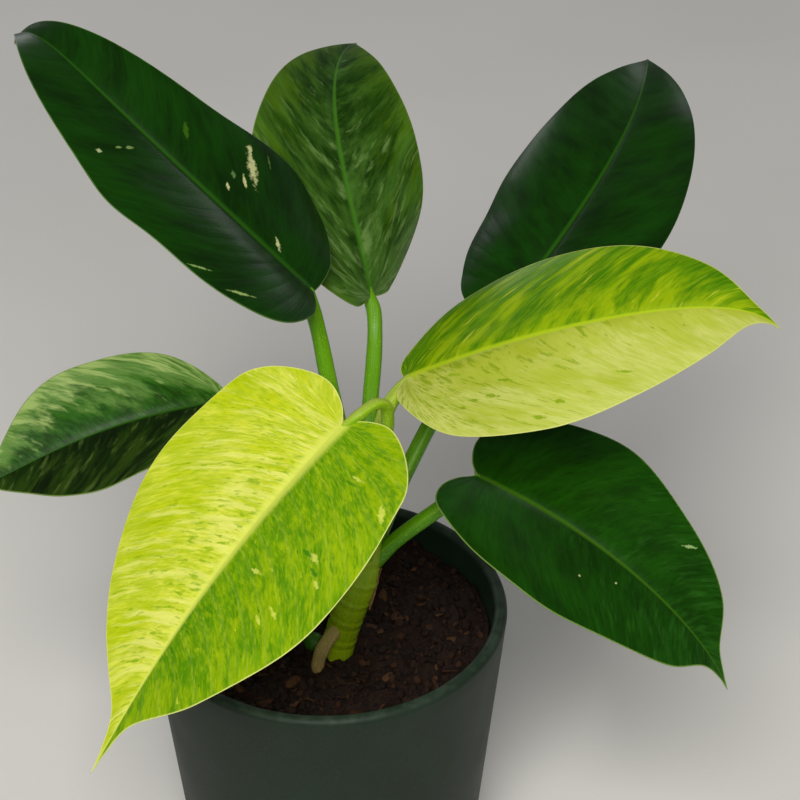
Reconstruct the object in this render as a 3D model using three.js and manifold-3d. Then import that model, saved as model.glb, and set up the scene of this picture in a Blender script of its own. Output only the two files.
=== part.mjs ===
// A potted variegated philodendron: a plain tapered pot filled with soil, and one short stem that
// carries seven leaves. Millimetres, +Z up. The origin is the centre of the pot's flat underside.
// +X is to the right and +Y to the back of the view that the plant is seen from.
import * as THREE from "three";
import { mergeVertices } from "three/addons/utils/BufferGeometryUtils.js";
import Module from "manifold-3d";

const wasm = await Module();
wasm.setup();

// Pot
const POT_HEIGHT = 120;
const RIM_RADIUS = 65;
const BASE_RADIUS = 54;
const WALL = 5;
const FLOOR = 5;
const FOOT_ROUNDING = 8;
const LIP_RADIUS = WALL / 2;
const LIP_HEIGHT = POT_HEIGHT - LIP_RADIUS;
const INSIDE_ROUNDING = FOOT_ROUNDING - WALL / 2;
const POT_SEGMENTS = 48;
const WALL_STEPS = 4;
const ARC_STEPS = 4;

// Soil
const SOIL_LEVEL = 108;
const SOIL_RINGS = 10;
const SOIL_SEGMENTS = 42;
const LUMPS = 110;
const LUMP_HEIGHT = 3;
const LUMP_RADIUS = 6;

// Clearance between pieces that touch
const GAP = 0.3;

// Stem: its route from inside the soil to the top, its radius at even spacing along it, and how far
// the rings that old leaves left stand out
const STEM_ROUTE = [[2, -14, 88], [3.5, -14, 109], [8, -14, 128], [13, -14, 146], [15, -13.5, 160]];
const STEM_RADII = [5.2, 5.8, 6, 6.6, 4.6];
const STEM_SIDES = 16;
const STEM_STEPS = 32;
const STEPS_PER_RING = 4;
const RING_SWELL = 0.5;

// A short aerial root that dives into the soil, and a green bud on the other side of the stem's foot
const ROOT_ROUTE = [[3, -18, 121], [-0.5, -22, 118], [-3, -24, 112], [-3.2, -24.5, 102]];
const ROOT_RADII = [2.4, 2.6, 2.3, 1.6];
const BUD_ROUTE = [[2, -12, 103], [-3, -13.5, 110], [-6.5, -14.5, 115], [-8, -15, 119.5]];
const BUD_RADII = [3.2, 4.6, 3.4, 0.5];
const SHOOT_STEPS = 9;

// Leaf blades: a side vein meets the margin further along than it leaves the midrib, by VEIN_LEAD of
// the length, and by less in the last VEIN_FADE of it. The margin waves up and down a few times.
const BLADE_THICKNESS = 0.8;
const BLADE_ROWS = 20;
const BLADE_COLUMNS = [0, 0.07, 0.36, 0.7, 1];
const RIB_DEPTH = 2;
const VEIN_LEAD = 0.13;
const VEIN_FADE = 0.7;
const WAVES = 3;
const LEFT_WAVE_START = 0.8;
const RIGHT_WAVE_START = 2.6;
const MIDRIB_STEPS = 60;
const NO_SWELL = [0, 1, 0];

// Leaf stalks: each ends a little past the blade's base, just below it
const STALK_RADII = [4.3, 2.9, 2.9, 2.9, 2.3];
const STALK_REACH = 1;
const STALK_DROP = 1.2;
const STALK_SIDES = 10;
const STALK_STEPS_PER_POINT = 3;

// The radius that a tube's section is drawn with before it is widened
const SECTION_RADIUS = 0.1;

// Each leaf. at is where the stalk meets the blade. left and right are the half widths to either side
// of the midrib, seen from above with the tip ahead. heading is the blade's direction from +X, in
// degrees, and swing is how much it turns by the tip. rise is the slope at the base and rise + dive
// the slope at the tip, hook bends the last of the tip alone, roll and twist lean the blade to one
// side at the base and by the tip, fold lifts both halves off the midrib and curl bends them down
// again by the margin. lobe, widest, fullLeft, fullRight and drip shape the outline, as fractions of
// the length or of the half width, shoulder is how square the base is, and wave is the margin's rise
// and fall. swell, where there is one, is where the left margin stands out further, over what reach
// and by how much. way is the stalk's route, from inside the stem to just short of the blade, and
// thick scales a stalk that is thinner than the others.
const LEAVES = [
  {
    name: "upper_left",
    colour: 0x17480f,
    at: [-3.5, 16.5, 239.5],
    length: 158, left: 37.5, right: 42,
    heading: 173, swing: -52, rise: 47, dive: -31, hook: -77,
    roll: 0, twist: -15, fold: 16, curl: 26,
    lobe: 0.01, widest: 0.14, fullLeft: 0.83, fullRight: 0.64, drip: 0.09, shoulder: 0.7, wave: 0.5,
    swell: [65, 12, 3.1],
    way: [[12, -12, 147], [9, -6, 168], [6.5, -0.5, 188], [1.5, 7, 211], [-1.5, 12, 226]],
  },
  {
    name: "back",
    colour: 0x3d6f1c,
    at: [15.5, 52, 218],
    length: 133, left: 34.5, right: 34.5,
    heading: 121, swing: -49, rise: 69, dive: -86, hook: -2,
    roll: 29, twist: -33, fold: 8, curl: 26,
    lobe: 0.01, widest: 0.35, fullLeft: 0.74, fullRight: 0.79, drip: 0.08, shoulder: 0.5, wave: 0.4,
    way: [
      [14, -11, 155], [14.5, 6, 173], [15.5, 26, 190],
      [16.5, 37, 198], [17, 46, 206], [16.5, 50.5, 213],
    ],
  },
  {
    name: "upper_right",
    colour: 0x17480f,
    at: [67.5, 47.5, 220],
    length: 152, left: 39, right: 35.5,
    heading: 46, swing: 39, rise: 31, dive: -31, hook: -16,
    roll: -2, twist: 8, fold: 19, curl: 55,
    lobe: 0.07, widest: 0.26, fullLeft: 0.86, fullRight: 0.83, drip: 0.09, shoulder: 0.85, wave: 0.3,
    way: [
      [15, -12, 151], [22, -2, 163], [29, 7.5, 174.5],
      [36, 16.5, 185], [47, 29, 200], [59, 39.5, 211],
    ],
  },
  {
    name: "right",
    colour: 0xb9c94a,
    at: [28, 1, 215],
    length: 132, left: 37, right: 37,
    heading: -10, swing: 13, rise: 31, dive: -30, hook: -50,
    roll: 9, twist: 27, fold: 3, curl: 21,
    lobe: 0.02, widest: 0.36, fullLeft: 0.84, fullRight: 0.8, drip: 0.09, shoulder: 0.45, wave: 0.3,
    way: [[15.5, -12.5, 157], [17, -8, 179], [19.5, -3.5, 197], [22.5, -1, 206]],
  },
  {
    name: "lower_right",
    colour: 0x1d5410,
    at: [52.5, -4.5, 178.5],
    length: 119, left: 39, right: 39,
    heading: -27, swing: 9, rise: -9, dive: -48, hook: -11,
    roll: 3, twist: 29, fold: 12, curl: 7,
    lobe: 0.06, widest: 0.32, fullLeft: 0.75, fullRight: 0.76, drip: 0.12, shoulder: 0.95, wave: 0.5,
    way: [[14, -14, 147], [26, -11, 157.5], [38, -8, 166], [45, -6, 170.5]],
  },
  {
    name: "front",
    colour: 0xc3d62c,
    at: [7.5, -29.5, 216.5],
    length: 139, left: 38.5, right: 43.5,
    heading: -141, swing: 2, rise: -28, dive: -26, hook: 6,
    roll: -11, twist: 15, fold: 4, curl: 4,
    lobe: 0.06, widest: 0.09, fullLeft: 1.15, fullRight: 1.05, drip: 0.14, shoulder: 0.95, wave: 0.4,
    thick: 0.75,
    way: [
      [14.5, -16, 153], [17.8, -16.5, 177], [20.8, -17, 199], [22, -19, 212],
      [21.2, -21, 218.5], [18, -24, 221], [13, -27.5, 219.3],
    ],
  },
  {
    name: "left",
    colour: 0x2c5c1c,
    at: [-35, 12.5, 198.5],
    length: 88, left: 25, right: 26,
    heading: 196, swing: -4, rise: 2, dive: -35, hook: 13,
    roll: -17, twist: -14, fold: 12, curl: 3,
    lobe: 0.01, widest: 0.53, fullLeft: 0.83, fullRight: 0.86, drip: 0.03, shoulder: 0.3, wave: 0.3,
    way: [[10, -13, 141], [2, -8, 162], [-8.5, -1, 178], [-19, 6, 189], [-27.5, 10, 194.5]],
  },
];

const COLOURS = {
  pot: 0x3b4a42, soil: 0x2b1a10, stem: 0x8aa02c, root: 0xa98c62, bud: 0x2f5a1a, stalk: 0x5c9420,
};

const vec = (p) => new THREE.Vector3(...p);
const rad = THREE.MathUtils.degToRad;

// Repeatable random numbers between 0 and 1
function seeded(seed) {
  let state = seed;
  return () => {
    state = (state * 1664525 + 1013904223) % 4294967296;
    return state / 4294967296;
  };
}

function geometryFrom(positions, triangles) {
  const geometry = new THREE.BufferGeometry();
  geometry.setAttribute("position", new THREE.Float32BufferAttribute(positions, 3));
  geometry.setIndex(triangles);
  return geometry;
}

// A geometry as a solid that can be cut and joined, and back again
function solidFrom(geometry) {
  const bare = geometry.clone();
  bare.deleteAttribute("normal");
  bare.deleteAttribute("uv");
  const merged = mergeVertices(bare, 1e-4);
  return new wasm.Manifold(
    new wasm.Mesh({
      numProp: 3,
      vertProperties: merged.attributes.position.array,
      triVerts: new Uint32Array(merged.index.array),
    }),
  );
}

function geometryOf(solid) {
  const largest = solid.decompose().reduce((a, b) => (a.volume() > b.volume() ? a : b));
  const mesh = largest.getMesh();
  return geometryFrom(Array.from(mesh.vertProperties), Array.from(mesh.triVerts));
}

// A round closed tube along a route, with radii given at even spacing. Each ring of an even, thin tube
// is widened about its own centre. grow adds to the tube all over, at its ends too.
function tube(route, radii, sides, steps, grow = 0, swell = () => 0) {
  const points = route.map(vec);
  for (const [end, next] of [[0, 1], [points.length - 1, points.length - 2]]) {
    const outwards = points[end].clone().sub(points[next]).normalize();
    points[end].addScaledVector(outwards, grow);
  }
  const path = new THREE.CatmullRomCurve3(points, false, "centripetal");
  const section = new THREE.Shape().absarc(0, 0, SECTION_RADIUS, 0, 2 * Math.PI);
  const settings = { steps, extrudePath: path, bevelEnabled: false, curveSegments: sides / 2 };
  const geometry = new THREE.ExtrudeGeometry(section, settings);
  const centres = path.getSpacedPoints(steps);
  const place = geometry.attributes.position;
  for (let i = 0; i < place.count; i++) {
    const point = new THREE.Vector3().fromBufferAttribute(place, i);
    const away = centres.map((centre) => centre.distanceTo(point));
    const ring = away.indexOf(Math.min(...away));
    const along = (ring / steps) * (radii.length - 1);
    const from = Math.min(Math.floor(along), radii.length - 2);
    const radius = THREE.MathUtils.lerp(radii[from], radii[from + 1], along - from) + grow + swell(ring);
    point.lerpVectors(centres[ring], point, radius / SECTION_RADIUS);
    place.setXYZ(i, point.x, point.y, point.z);
  }
  return geometry;
}

// The pot's outer radius at a height, widest where the lip starts to turn in
function potRadius(z) {
  return THREE.MathUtils.lerp(BASE_RADIUS, RIM_RADIUS, z / LIP_HEIGHT);
}

// Points of an arc in the plane of a lathe's profile, from one angle to another in quarter turns
function arc(x, y, radius, from, to) {
  return Array.from({ length: ARC_STEPS + 1 }, (_, i) => {
    const turn = (Math.PI / 2) * THREE.MathUtils.lerp(from, to, i / ARC_STEPS);
    return new THREE.Vector2(x + radius * Math.cos(turn), y + radius * Math.sin(turn));
  });
}

// The wall's points at even steps between two heights, set in from the outer face
function wall(from, to, inset) {
  return Array.from({ length: WALL_STEPS - 1 }, (_, i) => {
    const z = THREE.MathUtils.lerp(from, to, (i + 1) / WALL_STEPS);
    return new THREE.Vector2(potRadius(z) - inset, z);
  });
}

// A profile turned round the pot's axis
function turned(profile, segments) {
  const ends = [new THREE.Vector2(0, profile[0].y), new THREE.Vector2(0, profile.at(-1).y)];
  return new THREE.LatheGeometry([ends[0], ...profile, ends[1]], segments).rotateX(Math.PI / 2);
}

function pot() {
  const corner = FLOOR + INSIDE_ROUNDING;
  const profile = [
    ...arc(potRadius(FOOT_ROUNDING) - FOOT_ROUNDING, FOOT_ROUNDING, FOOT_ROUNDING, -1, 0),
    ...wall(FOOT_ROUNDING, LIP_HEIGHT, 0),
    ...arc(RIM_RADIUS - LIP_RADIUS, LIP_HEIGHT, LIP_RADIUS, 0, 2),
    ...wall(LIP_HEIGHT, corner, WALL),
    ...arc(potRadius(corner) - WALL - INSIDE_ROUNDING, corner, INSIDE_ROUNDING, 0, -1),
  ];
  return turned(profile, POT_SEGMENTS);
}

// The lumps that stand out of the soil: places, radii and heights
function soilLumps() {
  const random = seeded(7);
  const reach = potRadius(SOIL_LEVEL) - WALL;
  return Array.from({ length: LUMPS }, () => {
    const turn = 2 * Math.PI * random();
    const out = reach * Math.sqrt(random());
    const size = 0.55 + 0.9 * random();
    return {
      place: new THREE.Vector2(out * Math.cos(turn), out * Math.sin(turn)),
      radius: LUMP_RADIUS * size,
      height: LUMP_HEIGHT * size,
    };
  });
}

// The soil that fills the pot, with a lumpy top and plain holes for what stands in it
function soil(holes) {
  const inset = WALL + 2 * GAP;
  const corner = FLOOR + INSIDE_ROUNDING;
  const reach = potRadius(SOIL_LEVEL) - inset;
  const profile = [
    ...arc(potRadius(corner) - inset - INSIDE_ROUNDING, corner + GAP, INSIDE_ROUNDING, -1, 0),
    ...wall(corner, SOIL_LEVEL, inset),
  ];
  for (let i = SOIL_RINGS; i > 0; i--) {
    profile.push(new THREE.Vector2((reach * i) / SOIL_RINGS, SOIL_LEVEL));
  }
  const geometry = turned(profile, SOIL_SEGMENTS);
  const lumps = soilLumps();
  const place = geometry.attributes.position;
  for (let i = 0; i < place.count; i++) {
    const at = new THREE.Vector2(place.getX(i), place.getY(i));
    if (place.getZ(i) < SOIL_LEVEL - 1e-3 || at.length() > 0.99 * reach) continue;
    const tops = lumps.map((lump) => {
      const away = at.distanceTo(lump.place) / lump.radius;
      return away < 1 ? lump.height * (1 - away * away) : 0;
    });
    place.setZ(i, SOIL_LEVEL + Math.max(...tops));
  }
  let solid = solidFrom(geometry);
  for (const hole of holes) solid = solid.subtract(solidFrom(hole));
  return geometryOf(solid);
}

function stem(grow = 0) {
  const swell = (ring) => (ring % STEPS_PER_RING === 0 ? RING_SWELL : 0);
  return tube(STEM_ROUTE, STEM_RADII, STEM_SIDES, STEM_STEPS, grow, swell);
}

// The midrib's curve, at even steps: places, and the directions along it, to its left and up. Its
// base is the origin, and there it heads along +X.
function midrib(leaf) {
  const frames = [];
  let place = new THREE.Vector3();
  let before = null;
  for (let i = 0; i <= MIDRIB_STEPS; i++) {
    const s = i / MIDRIB_STEPS;
    const heading = rad(leaf.swing * s);
    const slope = rad(leaf.rise + leaf.dive * s + leaf.hook * s ** 8);
    const roll = rad(leaf.roll + leaf.twist * s);
    const along = new THREE.Vector3(
      Math.cos(slope) * Math.cos(heading),
      Math.cos(slope) * Math.sin(heading),
      Math.sin(slope),
    );
    const level = new THREE.Vector3(-Math.sin(heading), Math.cos(heading), 0);
    const left = level
      .clone()
      .multiplyScalar(Math.cos(roll))
      .addScaledVector(along.clone().cross(level), Math.sin(roll));
    if (before) {
      const step = before.clone().add(along).multiplyScalar(leaf.length / MIDRIB_STEPS / 2);
      place = place.clone().add(step);
    }
    frames.push({ place, along, left, up: along.clone().cross(left) });
    before = along;
  }
  return frames;
}

// Between two frames of the midrib. Behind the base it runs straight on backwards.
function frameAt(leaf, frames, x) {
  const t = THREE.MathUtils.clamp(x / leaf.length, 0, 1) * MIDRIB_STEPS;
  const i = Math.min(Math.floor(t), MIDRIB_STEPS - 1);
  const mix = (key) => frames[i][key].clone().lerp(frames[i + 1][key], t - i);
  const frame = { place: mix("place"), left: mix("left"), up: mix("up") };
  frame.place.addScaledVector(frames[0].along, Math.min(x, 0));
  return frame;
}

// A point of the blade: x along the midrib, y to its left, and lift off the middle of its thickness
function bladePoint(leaf, frames, x, y, lift) {
  const { place, left, up } = frameAt(leaf, frames, x);
  const halfWidth = (leaf.left + leaf.right) / 2;
  const bend = rad(leaf.curl) / halfWidth;
  const fold = rad(leaf.fold);
  const away = Math.abs(y);
  const side = away < 1e-6 ? 0 : Math.sign(y);
  const lean = fold - bend * away;
  const out = (Math.sin(fold) - Math.sin(lean)) / bend;
  const rise = (Math.cos(lean) - Math.cos(fold)) / bend;
  const start = side > 0 ? LEFT_WAVE_START : RIGHT_WAVE_START;
  const ripple = Math.sin((2 * Math.PI * WAVES * x) / leaf.length + start);
  const wave = leaf.wave * (away / halfWidth) ** 2 * ripple;
  const normal = up
    .clone()
    .multiplyScalar(side === 0 ? 1 : Math.cos(lean))
    .addScaledVector(left, -side * Math.sin(lean));
  return place
    .addScaledVector(left, side * out)
    .addScaledVector(up, rise)
    .addScaledVector(normal, wave + lift);
}

// One half's margin in the flat blade, from the notch where the stalk joins, round the lobe, to the tip
function margin(leaf, side) {
  const { lobe, widest, drip, shoulder } = leaf;
  const full = side > 0 ? leaf.fullLeft : leaf.fullRight;
  const halfWidth = side > 0 ? leaf.left : leaf.right;
  const ahead = 1 - widest;
  const points = [
    [0, 0],
    [-0.62 * lobe, 0.14 * shoulder],
    [-lobe, 0.38 * shoulder],
    [-0.55 * lobe, 0.68 * shoulder],
    [0.33 * widest, 0.79 + 0.13 * shoulder],
    [widest, 1],
    [widest + 0.36 * ahead, full],
    [widest + 0.68 * ahead, 0.56 * full],
    [1 - drip, 0.115],
    [1 - 0.4 * drip, 0.028],
    [1, 0],
  ];
  const curve = new THREE.CatmullRomCurve3(
    points.map(([x, y]) => new THREE.Vector3(x * leaf.length, side * y * halfWidth, 0)),
    false,
    "centripetal",
  );
  const [at, reach, height] = (side > 0 && leaf.swell) || NO_SWELL;
  return (t) => {
    const point = curve.getPoint(t);
    point.y += height * Math.exp(-(((point.x - at) / reach) ** 2));
    return point;
  };
}

// Gathers faces by their corners. Corners closer than a thousandth of a millimetre become one, and a
// face that this leaves without area is dropped.
class Faces {
  places = new Map();
  positions = [];
  triangles = [];

  corner(point) {
    const rounded = point.toArray().map((value) => Math.round(value * 1000) / 1000);
    const key = rounded.join();
    if (!this.places.has(key)) {
      this.places.set(key, this.places.size);
      this.positions.push(...rounded);
    }
    return this.places.get(key);
  }

  add(...points) {
    const corners = points.map((point) => this.corner(point));
    if (new Set(corners).size === 3) this.triangles.push(...corners);
  }

  geometry() {
    return geometryFrom(this.positions, this.triangles);
  }
}

// A blade of even thickness with a rib along its underside. Its rows run out from the midrib as its
// side veins do, and both halves' rows start from the same places on it.
function blade(leaf) {
  const frames = midrib(leaf);
  const faces = new Faces();
  const edges = { 1: margin(leaf, 1), [-1]: margin(leaf, -1) };
  for (const side of [1, -1]) {
    const rows = [];
    for (let i = 0; i <= BLADE_ROWS; i++) {
      const m = edges[side](i / BLADE_ROWS);
      const level = (edges[1](i / BLADE_ROWS).x + edges[-1](i / BLADE_ROWS).x) / 2;
      const lead = THREE.MathUtils.clamp((leaf.length - level) / (VEIN_FADE * leaf.length), 0, 1);
      const foot = THREE.MathUtils.clamp(level - VEIN_LEAD * leaf.length * lead, 0, leaf.length);
      rows.push(
        BLADE_COLUMNS.map((v) => {
          const x = THREE.MathUtils.lerp(foot, m.x, v);
          const depth = BLADE_THICKNESS / 2 + (v === 0 ? RIB_DEPTH * (1 - foot / leaf.length) : 0);
          const y = m.y * v;
          const top = bladePoint(leaf, frames, x, y, BLADE_THICKNESS / 2);
          return [top, bladePoint(leaf, frames, x, y, -depth)];
        }),
      );
    }
    // Faces turn the other way on the right half
    const face = (a, b, c) => (side > 0 ? faces.add(a, b, c) : faces.add(a, c, b));
    const last = BLADE_COLUMNS.length - 1;
    for (let i = 0; i < BLADE_ROWS; i++) {
      for (let j = 0; j < last; j++) {
        const [a, b, c, d] = [rows[i][j], rows[i + 1][j], rows[i + 1][j + 1], rows[i][j + 1]];
        face(a[0], b[0], c[0]);
        face(a[0], c[0], d[0]);
        face(a[1], c[1], b[1]);
        face(a[1], d[1], c[1]);
      }
      const [a, b] = [rows[i][last], rows[i + 1][last]];
      face(a[0], b[0], a[1]);
      face(b[0], b[1], a[1]);
    }
  }
  return faces.geometry();
}

// From a blade's own frame to the pot's
function bladePlace(leaf) {
  return new THREE.Matrix4().makeRotationZ(rad(leaf.heading)).setPosition(...leaf.at);
}

// A stalk from inside the stem up to the blade, where it runs into the rib
function stalk(leaf, grow = 0) {
  const { along, up } = midrib(leaf)[0];
  const end = along.clone().multiplyScalar(STALK_REACH).addScaledVector(up, -STALK_DROP);
  const route = [...leaf.way, end.applyMatrix4(bladePlace(leaf)).toArray()];
  const steps = STALK_STEPS_PER_POINT * (route.length - 1);
  const radii = STALK_RADII.map((radius) => radius * (leaf.thick ?? 1));
  return tube(route, radii, STALK_SIDES, steps, grow);
}

const part = new THREE.Group();
part.name = "potted_philodendron";
const plant = new THREE.Group();
plant.name = "plant";
part.add(plant);

function add(group, name, geometry, colour, roughness) {
  const material = new THREE.MeshStandardMaterial({ color: colour, roughness, metalness: 0 });
  const mesh = new THREE.Mesh(geometry, material);
  mesh.name = name;
  group.add(mesh);
  return mesh;
}

const aerialRoot = (grow = 0) => tube(ROOT_ROUTE, ROOT_RADII, STALK_SIDES, SHOOT_STEPS, grow);
const basalBud = (grow = 0) => tube(BUD_ROUTE, BUD_RADII, STALK_SIDES, SHOOT_STEPS, grow);

add(part, "pot", pot(), COLOURS.pot, 0.7);
add(part, "soil", soil([stem(GAP), aerialRoot(GAP), basalBud(GAP)]), COLOURS.soil, 1);
add(plant, "stem", stem(), COLOURS.stem, 0.45);

// What springs from the stem is cut back from it, and from what was placed before
let taken = solidFrom(stem(GAP));
function sprout(name, shape, colour, roughness) {
  add(plant, name, geometryOf(solidFrom(shape(0)).subtract(taken)), colour, roughness);
  taken = taken.add(solidFrom(shape(GAP)));
}
sprout("aerial_root", aerialRoot, COLOURS.root, 0.8);
sprout("basal_bud", basalBud, COLOURS.bud, 0.5);
for (const leaf of LEAVES) sprout("stalk_" + leaf.name, (grow) => stalk(leaf, grow), COLOURS.stalk, 0.4);

// Each blade is notched where its stalk comes in
for (const leaf of LEAVES) {
  const notch = stalk(leaf, GAP).applyMatrix4(bladePlace(leaf).invert());
  const geometry = geometryOf(solidFrom(blade(leaf)).subtract(solidFrom(notch)));
  const mesh = add(plant, "blade_" + leaf.name, geometry, leaf.colour, 0.35);
  mesh.rotation.z = rad(leaf.heading);
  mesh.position.set(...leaf.at);
}

export default part;
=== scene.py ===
"""A potted variegated philodendron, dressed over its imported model.

Sizes are in millimetres and angles in degrees until a mesh is made, which is in metres. The origin is
the centre of the pot's underside, with +X to the right, +Y to the back and +Z up, as in the model.
"""

from __future__ import annotations

import sys

import logging
import math
from dataclasses import dataclass, field
from enum import Enum
from functools import cache, cached_property
from statistics import NormalDist
from typing import Sequence, Union

import bmesh
import bpy
import numpy as np
from mathutils import Euler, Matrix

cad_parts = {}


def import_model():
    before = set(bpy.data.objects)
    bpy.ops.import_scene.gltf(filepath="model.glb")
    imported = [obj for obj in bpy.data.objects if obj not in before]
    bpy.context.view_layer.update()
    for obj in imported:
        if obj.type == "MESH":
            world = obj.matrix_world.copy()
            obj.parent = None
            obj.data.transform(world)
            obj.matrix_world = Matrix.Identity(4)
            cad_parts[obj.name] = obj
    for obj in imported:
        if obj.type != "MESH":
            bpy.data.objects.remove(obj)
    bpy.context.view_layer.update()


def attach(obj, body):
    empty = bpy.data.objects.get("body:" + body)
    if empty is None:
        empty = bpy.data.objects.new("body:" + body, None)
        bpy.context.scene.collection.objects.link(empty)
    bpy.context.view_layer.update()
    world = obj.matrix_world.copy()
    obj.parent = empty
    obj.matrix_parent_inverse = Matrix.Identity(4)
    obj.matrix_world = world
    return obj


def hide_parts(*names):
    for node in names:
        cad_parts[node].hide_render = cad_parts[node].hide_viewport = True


LOG = logging.getLogger("philodendron")
MM = 0.001
ROOT_BODY = "root"

Colour = tuple[int, int, int]
Point = tuple[float, float, float]
Socket = bpy.types.NodeSocket
Material = bpy.types.Material
Object = bpy.types.Object
Input = Union[Socket, float, tuple]


# Small helpers


def linear(colour: Colour, lift: float = 1.0) -> tuple[float, float, float, float]:
    """Turns a colour as seen on a screen into the linear one that a shader takes.

    Args:
        colour: Red, green and blue from 0 to 255.
        lift: What the linear colour is multiplied by.

    Returns:
        Linear red, green, blue and an alpha of 1.
    """

    def channel(value: float) -> float:
        """One channel, from 0 to 1."""
        return value / 12.92 if value <= 0.04045 else ((value + 0.055) / 1.055) ** 2.4

    red, green, blue = (min(1.0, lift * channel(value / 255)) for value in colour)
    return red, green, blue, 1.0


def smooth(value: np.ndarray, low: float, high: float) -> np.ndarray:
    """Goes smoothly from 0 at low to 1 at high."""
    t = np.clip((value - low) / (high - low), 0, 1)
    return t * t * (3 - 2 * t)


def unit(vectors: np.ndarray) -> np.ndarray:
    """The same vectors with a length of 1."""
    return vectors / np.linalg.norm(vectors, axis=-1, keepdims=True)


def centripetal(points: np.ndarray, t: np.ndarray) -> np.ndarray:
    """Points of a centripetal Catmull-Rom curve through given points.

    Args:
        points: The points that the curve goes through.
        t: Places along it, from 0 to 1, an equal share for each span.

    Returns:
        One point for each place.
    """
    spans = len(points) - 1
    index = np.minimum((t * spans).astype(int), spans - 1)
    w = (t * spans - index)[:, None]
    padded = np.vstack([2 * points[0] - points[1], points, 2 * points[-1] - points[-2]])
    p0, p1, p2, p3 = (padded[index + k] for k in range(4))
    d0, d1, d2 = (
        np.sqrt(np.linalg.norm(b - a, axis=1, keepdims=True)) for a, b in ((p0, p1), (p1, p2), (p2, p3))
    )
    m1 = ((p1 - p0) / d0 - (p2 - p0) / (d0 + d1) + (p2 - p1) / d1) * d1
    m2 = ((p2 - p1) / d1 - (p3 - p1) / (d1 + d2) + (p3 - p2) / d2) * d1
    c2 = -3 * p1 + 3 * p2 - 2 * m1 - m2
    c3 = 2 * p1 - 2 * p2 + m1 + m2
    return p1 + m1 * w + c2 * w**2 + c3 * w**3


def even_path(route: Sequence[Point], count: int) -> np.ndarray:
    """Points at even distances along the curve through a route.

    Args:
        route: The points that the curve goes through.
        count: How many points are wanted.

    Returns:
        One row of x, y and z for each.
    """
    fine = centripetal(np.array(route, float), np.linspace(0, 1, 800))
    run = np.concatenate([[0], np.cumsum(np.linalg.norm(np.diff(fine, axis=0), axis=1))])
    at = np.linspace(0, run[-1], count)
    return np.stack([np.interp(at, run, fine[:, k]) for k in range(3)], axis=1)


def value_noise(x: np.ndarray, y: np.ndarray, size: float, seed: int) -> np.ndarray:
    """Smooth random heights from -1 to 1 over a plane.

    Args:
        x: Places across.
        y: Places along.
        size: How far apart the random values are.
        seed: Which random values are used.

    Returns:
        A height for each place.
    """
    side = 64
    table = np.random.default_rng(seed).uniform(-1, 1, (side, side))
    u, v = x / size, y / size
    i, j = np.floor(u).astype(int), np.floor(v).astype(int)
    a, b = smooth(u - i, 0, 1), smooth(v - j, 0, 1)

    def corner(right: int, ahead: int) -> np.ndarray:
        """The random value at a corner of each place's square."""
        return table[(i + right) % side, (j + ahead) % side]

    near = corner(0, 0) * (1 - a) + corner(1, 0) * a
    far = corner(0, 1) * (1 - a) + corner(1, 1) * a
    return near * (1 - b) + far * b


class Slot(Enum):
    """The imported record's material slots."""

    POT = "pot"
    SOIL = "soil"
    STEM = "stem"
    ROOT = "root"
    BUD = "bud"
    STALK = "stalk"
    LEAF_DARK = "leaf_dark"
    LEAF_MARBLED = "leaf_marbled"
    LEAF_LIME = "leaf_lime"


class Skin:
    """Gathers the faces of one piece, with the named coordinates that its finish reads."""

    WELD = 2e-6

    def __init__(self, *maps: str) -> None:
        """Starts empty.

        Args:
            *maps: The names of the coordinates that each point brings.
        """
        self.names = maps
        self.points: list[np.ndarray] = []
        self.maps: dict[str, list[np.ndarray]] = {name: [] for name in maps}
        self.faces: list[list[int]] = []
        self.count = 0

    def add(self, points: np.ndarray, faces: np.ndarray, **maps: np.ndarray) -> None:
        """Adds points, and faces that number them from 0.

        Args:
            points: One row of x, y and z for each point.
            faces: Corner numbers, a row for each face.
            **maps: Two coordinates for each point, by name.
        """
        self.faces.extend((np.asarray(faces) + self.count).tolist())
        self.points.append(points)
        for name in self.names:
            self.maps[name].append(maps[name])
        self.count += len(points)

    def grid(self, points: np.ndarray, flip: bool = False, wrap: bool = False, **maps: np.ndarray) -> None:
        """Adds a sheet of four-sided faces.

        Args:
            points: Rows and columns of points.
            flip: Whether the faces look to the other side.
            wrap: Whether the last column joins the first.
            **maps: Rows and columns of two coordinates, by name.
        """
        rows, columns = points.shape[:2]
        number = np.arange(rows * columns).reshape(rows, columns)
        after = np.roll(number, -1, axis=1) if wrap else number[:, 1:]
        here = number if wrap else number[:, :-1]
        corners = [here[:-1], here[1:], after[1:], after[:-1]]
        if flip:
            corners.reverse()
        faces = np.stack([corner.ravel() for corner in corners], axis=1)
        self.add(points.reshape(-1, 3), faces, **{name: maps[name].reshape(-1, 2) for name in self.names})

    def make(self, name: str, weld: bool = True) -> Object:
        """Makes the object.

        Args:
            name: The piece's name.
            weld: Whether points in one place become one.

        Returns:
            The object, linked to the scene.
        """
        mesh = bpy.data.meshes.new(name)
        mesh.from_pydata((np.vstack(self.points) * MM).tolist(), [], self.faces)
        corners = np.zeros(len(mesh.loops), np.int32)
        mesh.loops.foreach_get("vertex_index", corners)
        for label in self.names:
            layer = mesh.uv_layers.new(name=label)
            layer.data.foreach_set("uv", np.vstack(self.maps[label])[corners].astype(np.float32).ravel())
        if weld:
            work = bmesh.new()
            work.from_mesh(mesh)
            bmesh.ops.remove_doubles(work, verts=work.verts, dist=self.WELD)
            work.to_mesh(mesh)
            work.free()
        mesh.polygons.foreach_set("use_smooth", np.ones(len(mesh.polygons), bool))
        mesh.update()
        piece = bpy.data.objects.new(name, mesh)
        bpy.context.scene.collection.objects.link(piece)
        return piece


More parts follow.
